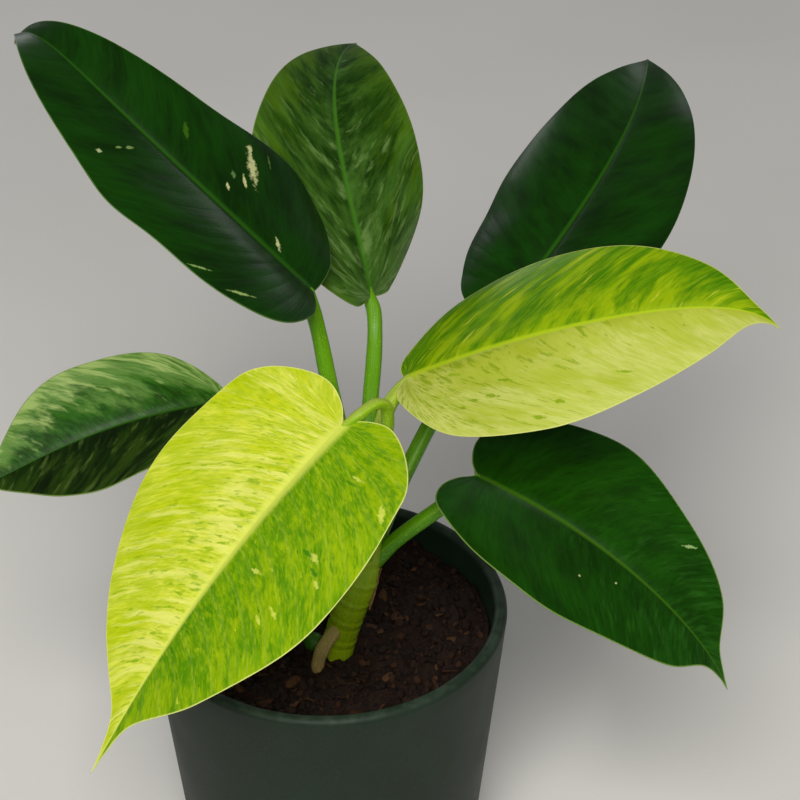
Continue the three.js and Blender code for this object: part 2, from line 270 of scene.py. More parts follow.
class Graph:
    """A material under construction: its nodes, and the wires between them."""

    def __init__(self, name: str) -> None:
        """Starts a material with one shader.

        Args:
            name: The material's name.
        """
        self.material = bpy.data.materials.new(name)
        self.material.use_nodes = True
        self.tree = self.material.node_tree
        self.tree.nodes.clear()
        self.shader = self.tree.nodes.new("ShaderNodeBsdfPrincipled")
        output = self.tree.nodes.new("ShaderNodeOutputMaterial")
        self.tree.links.new(self.shader.outputs["BSDF"], output.inputs["Surface"])

    def put(self, socket: Socket, value: Input) -> None:
        """Wires a socket, or sets it.

        Args:
            socket: The socket.
            value: What is wired to it, or its value.
        """
        if isinstance(value, Socket):
            self.tree.links.new(value, socket)
        else:
            socket.default_value = value

    def shade(self, **values: Input) -> None:
        """Sets the shader's sockets, by their names with _ for a space."""
        for name, value in values.items():
            self.put(self.shader.inputs[name.replace("_", " ")], value)

    def node(self, kind: str, *values: Input, **settings: object) -> bpy.types.Node:
        """Adds a node.

        Args:
            kind: The node's kind, without ShaderNode.
            *values: What goes into its inputs, in order. None leaves one as it is.
            **settings: The node's own settings.

        Returns:
            The node.
        """
        made = self.tree.nodes.new("ShaderNode" + kind)
        for name, value in settings.items():
            setattr(made, name, value)
        for socket, value in zip(made.inputs, values):
            if value is not None:
                self.put(socket, value)
        return made

    def uv(self, name: str) -> tuple[Socket, Socket]:
        """The two values of a named coordinate."""
        made = self.node("SeparateXYZ", self.node("UVMap", uv_map=name).outputs[0])
        return made.outputs[0], made.outputs[1]

    def place(self) -> Socket:
        """Where a point is, in metres."""
        return self.node("TexCoord").outputs["Object"]

    def split(self, vector: Input) -> list[Socket]:
        """A vector's three values."""
        return list(self.node("SeparateXYZ", vector).outputs)

    def join(self, x: Input, y: Input, z: Input = 0.0) -> Socket:
        """A vector from three values."""
        return self.node("CombineXYZ", x, y, z).outputs[0]

    def calc(self, operation: str, a: Input, b: Input = 0.0, c: Input = 0.0) -> Socket:
        """One step of arithmetic."""
        return self.node("Math", a, b, c, operation=operation).outputs[0]

    def plus(self, a: Input, b: Input) -> Socket:
        """The sum of two values."""
        return self.calc("ADD", a, b)

    def minus(self, a: Input, b: Input) -> Socket:
        """The first value less the second."""
        return self.calc("SUBTRACT", a, b)

    def times(self, a: Input, b: Input) -> Socket:
        """The product of two values."""
        return self.calc("MULTIPLY", a, b)

    def sway(self, cloud: Input, amount: float) -> Socket:
        """How far a value from 0 to 1 lies from its middle, times an amount."""
        return self.times(self.minus(cloud, 0.5), amount)

    def noise(self, vector: Input, scale: float, detail: float = 2.0, rough: float = 0.5) -> Socket:
        """Cloudy random values round 0.5.

        Args:
            vector: Where they are read.
            scale: How many clouds there are to a unit of it.
            detail: How many finer layers lie over the clouds.
            rough: How strong each finer layer is.

        Returns:
            The values.
        """
        made = self.node("TexNoise")
        self.put(made.inputs["Vector"], vector)
        self.put(made.inputs["Scale"], scale)
        self.put(made.inputs["Detail"], detail)
        self.put(made.inputs["Roughness"], rough)
        return made.outputs[0]

    def cells(self, vector: Input, scale: float) -> Socket:
        """The distance to the nearest of many random points.

        Args:
            vector: Where it is read.
            scale: How many points there are to a unit of it.

        Returns:
            The distance, as a share of the points' spacing.
        """
        made = self.node("TexVoronoi")
        self.put(made.inputs["Vector"], vector)
        self.put(made.inputs["Scale"], scale)
        return made.outputs["Distance"]

    def fade(
        self, value: Input, low: float, high: float, to_low: float = 0.0, to_high: float = 1.0
    ) -> Socket:
        """Goes smoothly from one value to another.

        Args:
            value: What it follows.
            low: Where it starts.
            high: Where it ends.
            to_low: Its value at the start and before it.
            to_high: Its value at the end and after it.

        Returns:
            The value between them.
        """
        made = self.node("MapRange", interpolation_type="SMOOTHSTEP")
        ends = {"From Min": low, "From Max": high, "To Min": to_low, "To Max": to_high}
        for name, number in {"Value": value, **ends}.items():
            self.put(made.inputs[name], number)
        return made.outputs[0]

    def mix(self, share: Input, a: Input, b: Input) -> Socket:
        """A colour between two others.

        Args:
            share: How much of the second shows.
            a: The first colour.
            b: The second.

        Returns:
            The colour.
        """
        made = self.node("Mix", data_type="RGBA")
        self.put(made.inputs[0], share)
        self.put(made.inputs[6], a)
        self.put(made.inputs[7], b)
        return made.outputs[2]

    def bump(
        self, height: Input, distance: float, strength: float = 1.0, under: Input | None = None
    ) -> Socket:
        """Fine relief.

        Args:
            height: Heights from 0 to 1.
            distance: What a height of 1 stands for, in millimetres.
            strength: How much of it shows.
            under: Another bump that this one lies on.

        Returns:
            The normal for a shader.
        """
        made = self.node("Bump")
        self.put(made.inputs["Height"], height)
        self.put(made.inputs["Distance"], distance * MM)
        self.put(made.inputs["Strength"], strength)
        if under is not None:
            self.put(made.inputs["Normal"], under)
        return made.outputs[0]


def settle(piece: Object, node: str | None, material: Material) -> Object:
    """Gives a piece its material and ties it to the frame.

    Args:
        piece: The finished object.
        node: The CAD node that it stands for, or None.
        material: Its material.

    Returns:
        The same object.
    """
    piece.data.materials.append(material)
    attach(piece, ROOT_BODY)
    if node is not None:
        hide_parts(node)
    LOG.info("%s: %d faces", piece.name, len(piece.data.polygons))
    return piece


# Leaf finishes


@dataclass(frozen=True)
class Spot:
    """Where a point of a blade lies, as values of its material.

    Attributes:
        vein: Centimetres across the side veins.
        out: Centimetres from the midrib, negative on the right.
        tip: The share of the way to the tip.
        rim: The share of the way from the midrib to the margin.
    """

    vein: Input
    out: Input
    tip: Input
    rim: Input


@dataclass(frozen=True)
class Marking:
    """Streaks or blotches of one colour, drawn out along the side veins.

    Attributes:
        colour: What they are coloured.
        share: About how much of the half they cover.
        across: How many there are in a centimetre across the veins.
        along: How many there are in a centimetre along them.
        edge: How soft their edges are.
        strength: How strongly they cover the ground.
        base: How much they gather at the blade's base, or at its tip where it is below 0.
        rim: How much they gather at the margin, or at the midrib where it is below 0.
    """

    colour: Colour
    share: float
    across: float = 3.0
    along: float = 0.8
    edge: float = 0.05
    strength: float = 1.0
    base: float = 0.0
    rim: float = 0.0

    # How ragged they are, how far base and rim shift their pattern, and how widely its values spread
    DETAIL = 4.0
    ROUGH = 0.62
    GATHER = 0.25
    SPREAD = 0.105

    def over(self, graph: Graph, ground: Input, spot: Spot, seed: float) -> Socket:
        """Lays the marking over a ground colour.

        Args:
            graph: The material.
            ground: The colour under it.
            spot: Where a point of the blade lies.
            seed: Which random pattern it takes.

        Returns:
            The new colour.
        """
        at = graph.join(graph.times(spot.vein, self.across), graph.times(spot.out, self.along), seed)
        cloud = graph.noise(at, 1.0, self.DETAIL, self.ROUGH)
        if self.base:
            cloud = graph.plus(cloud, graph.times(graph.minus(0.5, spot.tip), self.GATHER * self.base))
        if self.rim:
            cloud = graph.plus(cloud, graph.sway(spot.rim, self.GATHER * self.rim))
        level = 0.5 + self.SPREAD * NormalDist().inv_cdf(1 - self.share)
        share = graph.fade(cloud, level - self.edge, level + self.edge, 0, self.strength)
        return graph.mix(share, ground, linear(self.colour))


@dataclass(frozen=True)
class HalfFinish:
    """How one half of a blade is coloured.

    Attributes:
        deep: The darker of the ground's two cloudy tones.
        ground: The lighter one.
        markings: What lies over the ground, from the lowest to the topmost.
    """

    deep: Colour
    ground: Colour
    markings: tuple[Marking, ...] = ()


@dataclass(frozen=True)
class Fleck:
    """One pale fleck in a known place.

    Attributes:
        x: Its place along the midrib.
        y: Its place to the left of the midrib.
        length: Its length.
        width: Its width.
        turn: Its direction from the midrib's, in degrees.
        colour: Its colour.
    """

    x: float
    y: float
    length: float
    width: float
    turn: float = 55.0
    colour: Colour = (198, 200, 140)


@dataclass(frozen=True)
class LeafFinish:
    """The skin of a blade.

    Attributes:
        name: The material's name.
        left: The half to the left of the midrib, seen from above with the tip ahead.
        right: The other half.
        midrib: The colour of the midrib.
        midrib_width: How wide its colour is at the base.
        margin: The colour of the thin line along the margin.
        veins: The colour that the side veins lean to.
        vein_strength: How strongly they do.
        underside: The colour that the underside leans to.
        gloss: The skin's roughness.
        flecks: Pale flecks in known places.
    """

    name: str
    left: HalfFinish
    right: HalfFinish
    midrib: Colour
    midrib_width: float = 2.4
    margin: Colour = (190, 200, 120)
    veins: Colour = (200, 215, 130)
    vein_strength: float = 0.2
    underside: Colour = (120, 150, 80)
    gloss: float = 0.34
    flecks: tuple[Fleck, ...] = ()

    # The skin's reflection, how strongly the midrib, the margin and the underside take their own
    # colours, how far the streaks wander, and how ragged and how dense the flecks are
    SPECULAR = 0.15
    RIB_SHARE = 0.8
    RIM_SHARE = 0.75
    UNDER_SHARE = 0.55
    WANDER = 0.14
    RAGGED = 3.4
    COVER = 0.92

    def half(self, graph: Graph, half: HalfFinish, spot: Spot, seed: float) -> Socket:
        """The colour of one half of the blade.

        Args:
            graph: The material.
            half: How the half is coloured.
            spot: Where a point of the blade lies.
            seed: Which random patterns it takes.

        Returns:
            The colour.
        """
        at = graph.join(graph.times(spot.vein, 0.7), graph.times(spot.out, 0.45), seed + 31)
        cloud = graph.noise(at, 1.0, 3.0, 0.55)
        colour = graph.mix(graph.fade(cloud, 0.36, 0.64), linear(half.deep), linear(half.ground))
        for order, marking in enumerate(half.markings):
            colour = marking.over(graph, colour, spot, seed + 7.3 * (order + 1))
        return colour

    def flecked(self, graph: Graph, colour: Input, x: Input, y: Input) -> Input:
        """Lays the flecks over a colour.

        Args:
            graph: The material.
            colour: The colour under them.
            x: Centimetres along the midrib.
            y: Centimetres to its left.

        Returns:
            The new colour.
        """
        ragged = graph.noise(graph.join(x, y), 6.0, 4.0, 0.7)
        for fleck in self.flecks:
            c, s = math.cos(math.radians(fleck.turn)), math.sin(math.radians(fleck.turn))
            dx, dy = graph.minus(x, fleck.x / 10), graph.minus(y, fleck.y / 10)
            run = graph.plus(graph.times(dx, c), graph.times(dy, s))
            over = graph.minus(graph.times(dy, c), graph.times(dx, s))
            away = [
                graph.calc("POWER", graph.calc("ABSOLUTE", graph.times(part, 18 / size)), 1.4)
                for part, size in ((run, fleck.length), (over, fleck.width))
            ]
            edge = graph.plus(graph.plus(*away), graph.sway(ragged, self.RAGGED))
            colour = graph.mix(graph.fade(edge, 0.35, 1.25, self.COVER, 0), colour, linear(fleck.colour))
        return colour

    def material(self, length: float, spacing: float) -> Material:
        """Makes the material for one blade.

        Args:
            length: The blade's length.
            spacing: The distance between its side veins.

        Returns:
            The material.
        """
        graph = Graph("leaf_" + self.name)
        x, y = graph.uv("flat")
        vein, side = graph.uv("vein")
        edge, out = graph.uv("edge")
        top, _ = graph.uv("layer")
        vein = graph.plus(vein, graph.sway(graph.noise(graph.join(x, y), 1.3, 3.0), self.WANDER))
        signed = graph.times(out, graph.calc("SIGN", side))
        rim_share = graph.calc("DIVIDE", out, graph.plus(graph.plus(out, edge), 0.001))
        spot = Spot(vein, signed, graph.times(x, 10 / length), rim_share)
        colour = self.half(graph, self.left, spot, 3.0)
        if self.right != self.left:
            right = self.half(graph, self.right, spot, 57.0)
            colour = graph.mix(graph.fade(side, -0.01, 0.01), right, colour)
        colour = self.flecked(graph, colour, x, y)

        # Side veins and the fine veins between them
        wave = graph.calc("ABSOLUTE", graph.calc("SINE", graph.times(vein, math.pi * 10 / spacing)))
        main = graph.fade(wave, 0.0, 0.3, 1, 0)
        fine = graph.noise(graph.join(graph.times(vein, 14.0), graph.times(signed, 0.5), 5.0), 1.0, 2.0)
        lines = graph.plus(graph.times(main, 0.6), graph.times(graph.fade(fine, 0.45, 0.75), 0.4))
        colour = graph.mix(graph.times(lines, self.vein_strength), colour, linear(self.veins))

        # Midrib, which narrows to the tip, and the margin
        narrow = graph.fade(x, 0.0, length / 10, self.midrib_width / 20, 0.03)
        rib = graph.fade(graph.calc("DIVIDE", out, narrow), 0.25, 1.3, 1, 0)
        colour = graph.mix(graph.times(rib, self.RIB_SHARE), colour, linear(self.midrib))
        rim = graph.fade(edge, 0.015, 0.05, self.RIM_SHARE, 0)
        colour = graph.mix(rim, colour, linear(self.margin))

        # The underside is paler and duller
        below = graph.mix(self.UNDER_SHARE, colour, linear(self.underside))
        colour = graph.mix(top, below, colour)
        grain = graph.noise(graph.join(x, y), 60.0, 2.0)
        rough = graph.fade(top, 0.0, 1.0, self.gloss + 0.2, self.gloss)
        rough = graph.plus(rough, graph.sway(grain, 0.12))
        normal = graph.bump(grain, 0.008, under=graph.bump(fine, 0.05))
        graph.shade(Base_Color=colour, Roughness=rough, Normal=normal, Specular_IOR_Level=self.SPECULAR)
        return graph.material


DARK = HalfFinish(
    deep=(9, 38, 1),
    ground=(15, 56, 2),
    markings=(
        Marking((20, 64, 5), 0.3, across=1.4, along=0.8, edge=0.16, strength=0.5),
        Marking((6, 28, 1), 0.3, across=8, along=2.4, edge=0.14, strength=0.25),
    ),
)
UPPER_LEFT = LeafFinish(
    name="upper_left",
    left=DARK,
    right=DARK,
    midrib=(37, 84, 12),
    midrib_width=3.4,
    margin=(84, 118, 50),
    veins=(34, 84, 16),
    vein_strength=0.12,
    underside=(70, 110, 50),
    gloss=0.3,
    flecks=(
        Fleck(44.0, -21.5, 13.0, 3.6, 140),
        Fleck(49.8, -27.0, 3.4, 2.6, 140),
        Fleck(42.6, -14.6, 5.0, 1.5, 140),
        Fleck(45.5, -7.7, 3.2, 1.2, 140),
        Fleck(19.4, -4.6, 5.6, 1.5, 140),
        Fleck(75.5, 11.0, 3.4, 1.4, 60, (120, 146, 80)),
        Fleck(77.5, 14.2, 2.0, 1.0, 60, (120, 146, 80)),
        Fleck(80.0, 20.9, 2.0, 1.5, 40, (170, 184, 130)),
        Fleck(69.7, -12.1, 7.0, 2.0, 140, (52, 92, 14)),
        Fleck(41.0, -30.0, 6.0, 1.0, 140, (70, 106, 40)),
        Fleck(47.0, -13.0, 3.0, 1.6, 140, (96, 124, 70)),
        Fleck(34.8, 34.0, 7.0, 0.9, 30, (130, 160, 90)),
        Fleck(21.4, 33.0, 8.0, 1.2, 30, (150, 175, 100)),
    ),
)
UPPER_RIGHT = LeafFinish(
    name="upper_right",
    left=DARK,
    right=DARK,
    midrib=(38, 88, 10),
    midrib_width=2.4,
    margin=(34, 72, 18),
    veins=(28, 76, 14),
    vein_strength=0.1,
    underside=(70, 110, 50),
    gloss=0.32,
)
MID_GREEN = HalfFinish(
    deep=(14, 52, 0),
    ground=(21, 70, 1),
    markings=(
        Marking((26, 74, 4), 0.28, across=1.8, along=0.8, edge=0.14, strength=0.5),
        Marking((8, 36, 0), 0.3, across=8, along=2.0, edge=0.12, strength=0.4),
        # Lighter green gathered towards the tip: a painted sheen
        Marking((44, 98, 26), 0.08, across=5, along=1.2, edge=0.14, strength=0.5, base=-1.3),
    ),
)
LOWER_RIGHT = LeafFinish(
    name="lower_right",
    left=MID_GREEN,
    right=MID_GREEN,
    midrib=(58, 100, 12),
    midrib_width=2.8,
    margin=(122, 154, 66),
    veins=(40, 94, 12),
    vein_strength=0.12,
    underside=(80, 120, 55),
    gloss=0.33,
    flecks=(
        Fleck(73.4, 21.4, 5.0, 1.2, 35, (150, 180, 110)),
        Fleck(60.0, -9.0, 1.0, 0.8),
        Fleck(48.0, -17.0, 0.9, 0.9),
    ),
)
BACK_HALF = HalfFinish(
    deep=(15, 45, 1),
    ground=(30, 66, 2),
    markings=(
        Marking((76, 110, 5), 0.34, across=1.3, along=0.8, edge=0.14, strength=0.75, base=-0.6, rim=1.0),
        Marking((14, 42, 1), 0.44, across=1.2, along=0.8, edge=0.12, strength=0.8, rim=-1.0),
        Marking((78, 120, 42), 0.28, across=1.4, along=0.9, edge=0.16, strength=0.65, base=1.1),
        Marking((44, 84, 6), 0.4, across=8, along=3.0, edge=0.14, strength=0.4),
        Marking((114, 146, 76), 0.07, across=2.6, along=1.2, edge=0.1, strength=0.65, base=0.9),
    ),
)
BACK = LeafFinish(
    name="back",
    left=BACK_HALF,
    right=BACK_HALF,
    midrib=(62, 116, 24),
    midrib_width=3.2,
    margin=(110, 138, 50),
    veins=(90, 128, 40),
    vein_strength=0.08,
    underside=(110, 145, 70),
    gloss=0.38,
)
LEFT = LeafFinish(
    name="left",
    left=HalfFinish(
        deep=(10, 27, 1),
        ground=(19, 43, 2),
        markings=(
            Marking((8, 22, 1), 0.42, across=1.3, along=0.7, edge=0.12, strength=0.8),
            Marking((44, 68, 10), 0.3, across=1.8, along=0.8, edge=0.12, strength=0.75, rim=0.8),
            Marking((74, 96, 38), 0.12, across=3.6, along=1.1, edge=0.08, strength=0.75),
        ),
    ),
    right=HalfFinish(
        deep=(24, 72, 2),
        ground=(42, 94, 8),
        markings=(
            Marking(
                (20, 52, 2), 0.44, across=1.3, along=0.8, edge=0.12, strength=0.85, rim=-1.1, base=-0.4,
            ),
            Marking((104, 140, 64), 0.42, across=1.7, along=0.8, edge=0.12, strength=0.8, rim=1.4),
            Marking((58, 108, 32), 0.4, across=8, along=2.6, edge=0.14, strength=0.4),
            Marking((158, 180, 104), 0.1, across=2.6, along=1.0, edge=0.1, strength=0.85, rim=1.2),
        ),
    ),
    midrib=(40, 82, 12),
    midrib_width=1.8,
    margin=(120, 144, 74),
    veins=(86, 122, 50),
    vein_strength=0.06,
    underside=(110, 145, 80),
    gloss=0.38,
)
FRONT = LeafFinish(
    name="front",
    left=HalfFinish(
        deep=(82, 134, 0),
        ground=(112, 156, 1),
        markings=(
            Marking((152, 180, 2), 0.42, across=1.7, along=1.0, edge=0.09, strength=0.8, rim=0.5),
            Marking((70, 128, 0), 0.34, across=2.8, along=1.3, edge=0.08, strength=0.75, rim=-0.3),
            Marking((98, 150, 0), 0.4, across=9, along=3.4, edge=0.14, strength=0.55),
            Marking((164, 192, 10), 0.3, across=10, along=3.6, edge=0.12, strength=0.5),
            Marking((54, 116, 2), 0.05, across=6.5, along=2.0, edge=0.04, strength=0.8),
            Marking((202, 212, 62), 0.025, across=6.0, along=2.0, edge=0.03, strength=0.8),
        ),
    ),
    right=HalfFinish(
        deep=(198, 210, 30),
        ground=(218, 224, 78),
        markings=(
            Marking((170, 192, 4), 0.4, across=1.5, along=1.1, edge=0.12, strength=0.6, rim=0.6),
            Marking((160, 184, 2), 0.42, across=12, along=2.2, edge=0.12, strength=0.65),
            Marking((234, 234, 124), 0.26, across=4.0, along=0.5, edge=0.1, strength=0.65, rim=-0.5),
            Marking((124, 164, 0), 0.12, across=8, along=2.2, edge=0.07, strength=0.75, rim=-0.4),
        ),
    ),
    midrib=(216, 224, 92),
    midrib_width=6.0,
    margin=(226, 228, 130),
    veins=(236, 238, 140),
    vein_strength=0.08,
    underside=(190, 204, 100),
    gloss=0.34,
    flecks=(
        Fleck(40.1, 27.2, 5.2, 1.9, 75, (198, 208, 84)),
        Fleck(46.3, 34.2, 4.2, 1.4, 70, (198, 208, 84)),
        Fleck(16.0, 35.0, 6.5, 2.2, 40, (204, 214, 84)),
        Fleck(54.7, 13.1, 4.4, 1.6, 100, (198, 208, 84)),
        Fleck(61.7, 28.6, 5.0, 1.4, 65, (200, 212, 80)),
        Fleck(66.2, 25.5, 4.2, 1.2, 65, (200, 212, 80)),
        Fleck(11.5, 19.6, 5.4, 1.1, 95, (198, 208, 84)),
        Fleck(40.2, 24.0, 5.4, 1.5, 85, (56, 124, 4)),
        Fleck(43.8, 30.6, 5.0, 1.5, 75, (56, 124, 4)),
        Fleck(13.9, 18.6, 6.0, 1.2, 95, (70, 132, 6)),
    ),
)
RIGHT = LeafFinish(
    name="right",
    left=HalfFinish(
        deep=(58, 112, 0),
        ground=(96, 142, 2),
        markings=(
            Marking(
                (156, 180, 6), 0.48, across=1.5, along=0.6, edge=0.1, strength=0.8, base=-0.5, rim=-0.5,
            ),
            Marking((60, 114, 0), 0.34, across=3.0, along=0.8, edge=0.09, strength=0.75, rim=0.4),
            Marking((124, 162, 4), 0.36, across=10, along=2.2, edge=0.13, strength=0.5),
            Marking((190, 200, 50), 0.07, across=5.0, along=0.8, edge=0.05, strength=0.7),
        ),
    ),
    right=HalfFinish(
        deep=(168, 180, 50),
        ground=(182, 192, 72),
        markings=(
            Marking((204, 208, 116), 0.4, across=1.2, along=0.8, edge=0.14, strength=0.7, rim=1.2),
            Marking((162, 180, 38), 0.4, across=10, along=3.0, edge=0.13, strength=0.5),
            Marking(
                (124, 150, 4), 0.07, across=5.0, along=1.6, edge=0.05, strength=0.7, base=0.9, rim=-0.3,
            ),
            Marking((126, 152, 8), 0.05, across=9.0, along=2.4, edge=0.04, strength=0.8, base=0.7),
        ),
    ),
    midrib=(176, 200, 30),
    midrib_width=3.0,
    margin=(206, 212, 120),
    veins=(170, 190, 50),
    vein_strength=0.08,
    underside=(190, 204, 100),
    gloss=0.32,
    flecks=(
        Fleck(36.4, -15.9, 5.0, 1.4, -20, (128, 156, 8)),
        Fleck(31.5, -20.9, 5.6, 1.7, -20, (132, 158, 12)),
        Fleck(25.8, -20.9, 3.0, 1.0, -20, (128, 156, 8)),
        Fleck(21.2, -22.8, 3.0, 1.4, -20, (122, 150, 6)),
        Fleck(75.5, -21.0, 6.0, 1.0, -12, (140, 162, 20)),
        Fleck(53.3, -28.3, 4.0, 1.6, -16, (132, 158, 12)),
        Fleck(46.0, -32.7, 5.0, 1.6, -16, (132, 158, 12)),
        Fleck(19.2, -7.6, 5.0, 1.5, -20, (146, 168, 24)),
    ),
)


# Leaves


@dataclass(frozen=True)
class LeafShape:
    """The form of one leaf, with the values that its solid has.

    Attributes:
        name: The leaf's name.
        at: Where the stalk meets the blade.
        length: The blade's length along the midrib.
        left: Its half width to the left of the midrib, seen from above with the tip ahead.
        right: Its half width to the right.
        heading: Its direction from +X.
        swing: How much it turns by the tip.
        rise: Its slope at the base.
        dive: How much the slope changes by the tip.
        hook: How much the last of the tip bends on its own.
        roll: How far it leans to one side at the base.
        twist: How much more it leans by the tip.
        fold: How far both halves lift off the midrib.
        curl: How far they bend down again by the margin.
        lobe: How far the lobes reach behind the base, as a share of the length.
        widest: Where it is widest, as a share of the length.
        full_left: The left half's width further on, as a share of the half width.
        full_right: The right half's.
        drip: The share of the length that the drawn-out tip takes.
        shoulder: How square the base is.
        wave: The rise and fall of the margin.
        way: The stalk's route, from inside the stem to just short of the blade.
        slot: The record's material slot.
        finish: Its skin.
        spacing: The distance between its side veins.
        thick: What its stalk's radii are multiplied by.
        lead: How far forward the side veins run, as a share of the length.
        swell: Where the left margin swells out along the midrib, over what reach, and how far.
        pucker: Where the blade is pushed up, along the midrib and to its left, over what reach, and
            how far.
    """

    name: str
    at: Point
    length: float
    left: float
    right: float
    heading: float
    swing: float
    rise: float
    dive: float
    hook: float
    roll: float
    twist: float
    fold: float
    curl: float
    lobe: float
    widest: float
    full_left: float
    full_right: float
    drip: float
    shoulder: float
    wave: float
    way: tuple[Point, ...]
    slot: Slot
    finish: LeafFinish
    spacing: float = 7.0
    thick: float = 1.0
    lead: float = 0.27
    swell: Point = (0.0, 1.0, 0.0)
    pucker: tuple[float, float, float, float] = (0.0, 0.0, 1.0, 0.0)


LEAVES = (
    LeafShape(
        name="upper_left",
        at=(-3.5, 16.5, 239.5),
        length=158, left=37.5, right=42,
        heading=173, swing=-52, rise=47, dive=-31, hook=-77,
        roll=0, twist=-15, fold=16, curl=26,
        lobe=0.01, widest=0.14, full_left=0.83, full_right=0.64, drip=0.09, shoulder=0.7, wave=0.5,
        way=((12, -12, 147), (9, -6, 168), (6.5, -0.5, 188), (1.5, 7, 211), (-1.5, 12, 226)),
        swell=(65, 12, 3.1), pucker=(66, 27, 9, 1.5),
        slot=Slot.LEAF_DARK, finish=UPPER_LEFT,
    ),
    LeafShape(
        name="back",
        at=(15.5, 52, 218),
        length=133, left=34.5, right=34.5,
        heading=121, swing=-49, rise=69, dive=-86, hook=-2,
        roll=29, twist=-33, fold=8, curl=26,
        lobe=0.01, widest=0.35, full_left=0.74, full_right=0.79, drip=0.08, shoulder=0.5, wave=0.4,
        way=(
            (14, -11, 155), (14.5, 6, 173), (15.5, 26, 190),
            (16.5, 37, 198), (17, 46, 206), (16.5, 50.5, 213),
        ),
        lead=0.5, slot=Slot.LEAF_MARBLED, finish=BACK,
    ),
    LeafShape(
        name="upper_right",
        at=(67.5, 47.5, 220),
        length=152, left=39, right=35.5,
        heading=46, swing=39, rise=31, dive=-31, hook=-16,
        roll=-2, twist=8, fold=19, curl=55,
        lobe=0.07, widest=0.26, full_left=0.86, full_right=0.83, drip=0.09, shoulder=0.85, wave=0.3,
        way=(
            (15, -12, 151), (22, -2, 163), (29, 7.5, 174.5),
            (36, 16.5, 185), (47, 29, 200), (59, 39.5, 211),
        ),
        slot=Slot.LEAF_DARK, finish=UPPER_RIGHT,
    ),
    LeafShape(
        name="right",
        at=(28, 1, 215),
        length=132, left=37, right=37,
        heading=-10, swing=13, rise=31, dive=-30, hook=-50,
        roll=9, twist=27, fold=3, curl=21,
        lobe=0.02, widest=0.36, full_left=0.84, full_right=0.8, drip=0.09, shoulder=0.45, wave=0.3,
        way=((15.5, -12.5, 157), (17, -8, 179), (19.5, -3.5, 197), (22.5, -1, 206)),
        lead=0.48, slot=Slot.LEAF_LIME, finish=RIGHT,
    ),
    LeafShape(
        name="lower_right",
        at=(52.5, -4.5, 178.5),
        length=119, left=39, right=39,
        heading=-27, swing=9, rise=-9, dive=-48, hook=-11,
        roll=3, twist=29, fold=12, curl=7,
        lobe=0.06, widest=0.32, full_left=0.75, full_right=0.76, drip=0.12, shoulder=0.95, wave=0.5,
        way=((14, -14, 147), (26, -11, 157.5), (38, -8, 166), (45, -6, 170.5)),
        slot=Slot.LEAF_DARK, finish=LOWER_RIGHT,
    ),
    LeafShape(
        name="front",
        at=(7.5, -29.5, 216.5),
        length=139, left=38.5, right=43.5,
        heading=-141, swing=2, rise=-28, dive=-26, hook=6,
        roll=-11, twist=15, fold=4, curl=4,
        lobe=0.06, widest=0.09, full_left=1.15, full_right=1.05, drip=0.14, shoulder=0.95, wave=0.4,
        way=(
            (14.5, -16, 153), (17.8, -16.5, 177), (20.8, -17, 199), (22, -19, 212),
            (21.2, -21, 218.5), (18, -24, 221), (13, -27.5, 219.3),
        ),
        slot=Slot.LEAF_LIME, finish=FRONT, thick=0.75,
    ),
    LeafShape(
        name="left",
        at=(-35, 12.5, 198.5),
        length=88, left=25, right=26,
        heading=196, swing=-4, rise=2, dive=-35, hook=13,
        roll=-17, twist=-14, fold=12, curl=3,
        lobe=0.01, widest=0.53, full_left=0.83, full_right=0.86, drip=0.03, shoulder=0.3, wave=0.3,
        way=((10, -13, 141), (2, -8, 162), (-8.5, -1, 178), (-19, 6, 189), (-27.5, 10, 194.5)),
        lead=0.5, slot=Slot.LEAF_MARBLED, finish=LEFT, spacing=5.5,
    ),
)


class Midrib:
    """The curve of a blade's midrib, with the directions to its left and up."""

    STEPS = 240

    def __init__(self, shape: LeafShape) -> None:
        """Runs the curve from the blade's base.

        Args:
            shape: The leaf.
        """
        self.length = shape.length
        self.s = np.linspace(0, 1, self.STEPS + 1)
        heading = np.radians(shape.heading + shape.swing * self.s)
        slope = np.radians(shape.rise + shape.dive * self.s + shape.hook * self.s**8)
        roll = np.radians(shape.roll + shape.twist * self.s)[:, None]
        level_share = np.cos(slope)
        along = np.stack(
            [level_share * np.cos(heading), level_share * np.sin(heading), np.sin(slope)], axis=1
        )
        level = np.stack([-np.sin(heading), np.cos(heading), 0 * heading], axis=1)
        steps = (along[1:] + along[:-1]) / 2 * self.length / self.STEPS
        self.along = along
        self.left = level * np.cos(roll) + np.cross(along, level) * np.sin(roll)
        self.up = np.cross(along, self.left)
        self.places = np.array(shape.at, float) + np.vstack([np.zeros(3), np.cumsum(steps, axis=0)])

    def at(self, x: np.ndarray) -> tuple[np.ndarray, np.ndarray, np.ndarray]:
        """The midrib at distances along it.

        Args:
            x: The distances. Behind the base it runs straight on backwards.

        Returns:
            The places there, and the directions to the left and up.
        """
        s = np.clip(x / self.length, 0, 1)

        def between(values: np.ndarray) -> np.ndarray:
            """Values between the midrib's steps."""
            return np.stack([np.interp(s, self.s, values[:, k]) for k in range(3)], axis=-1)

        behind = np.minimum(x, 0)[..., None] * self.along[0]
        return between(self.places) + behind, between(self.left), between(self.up)


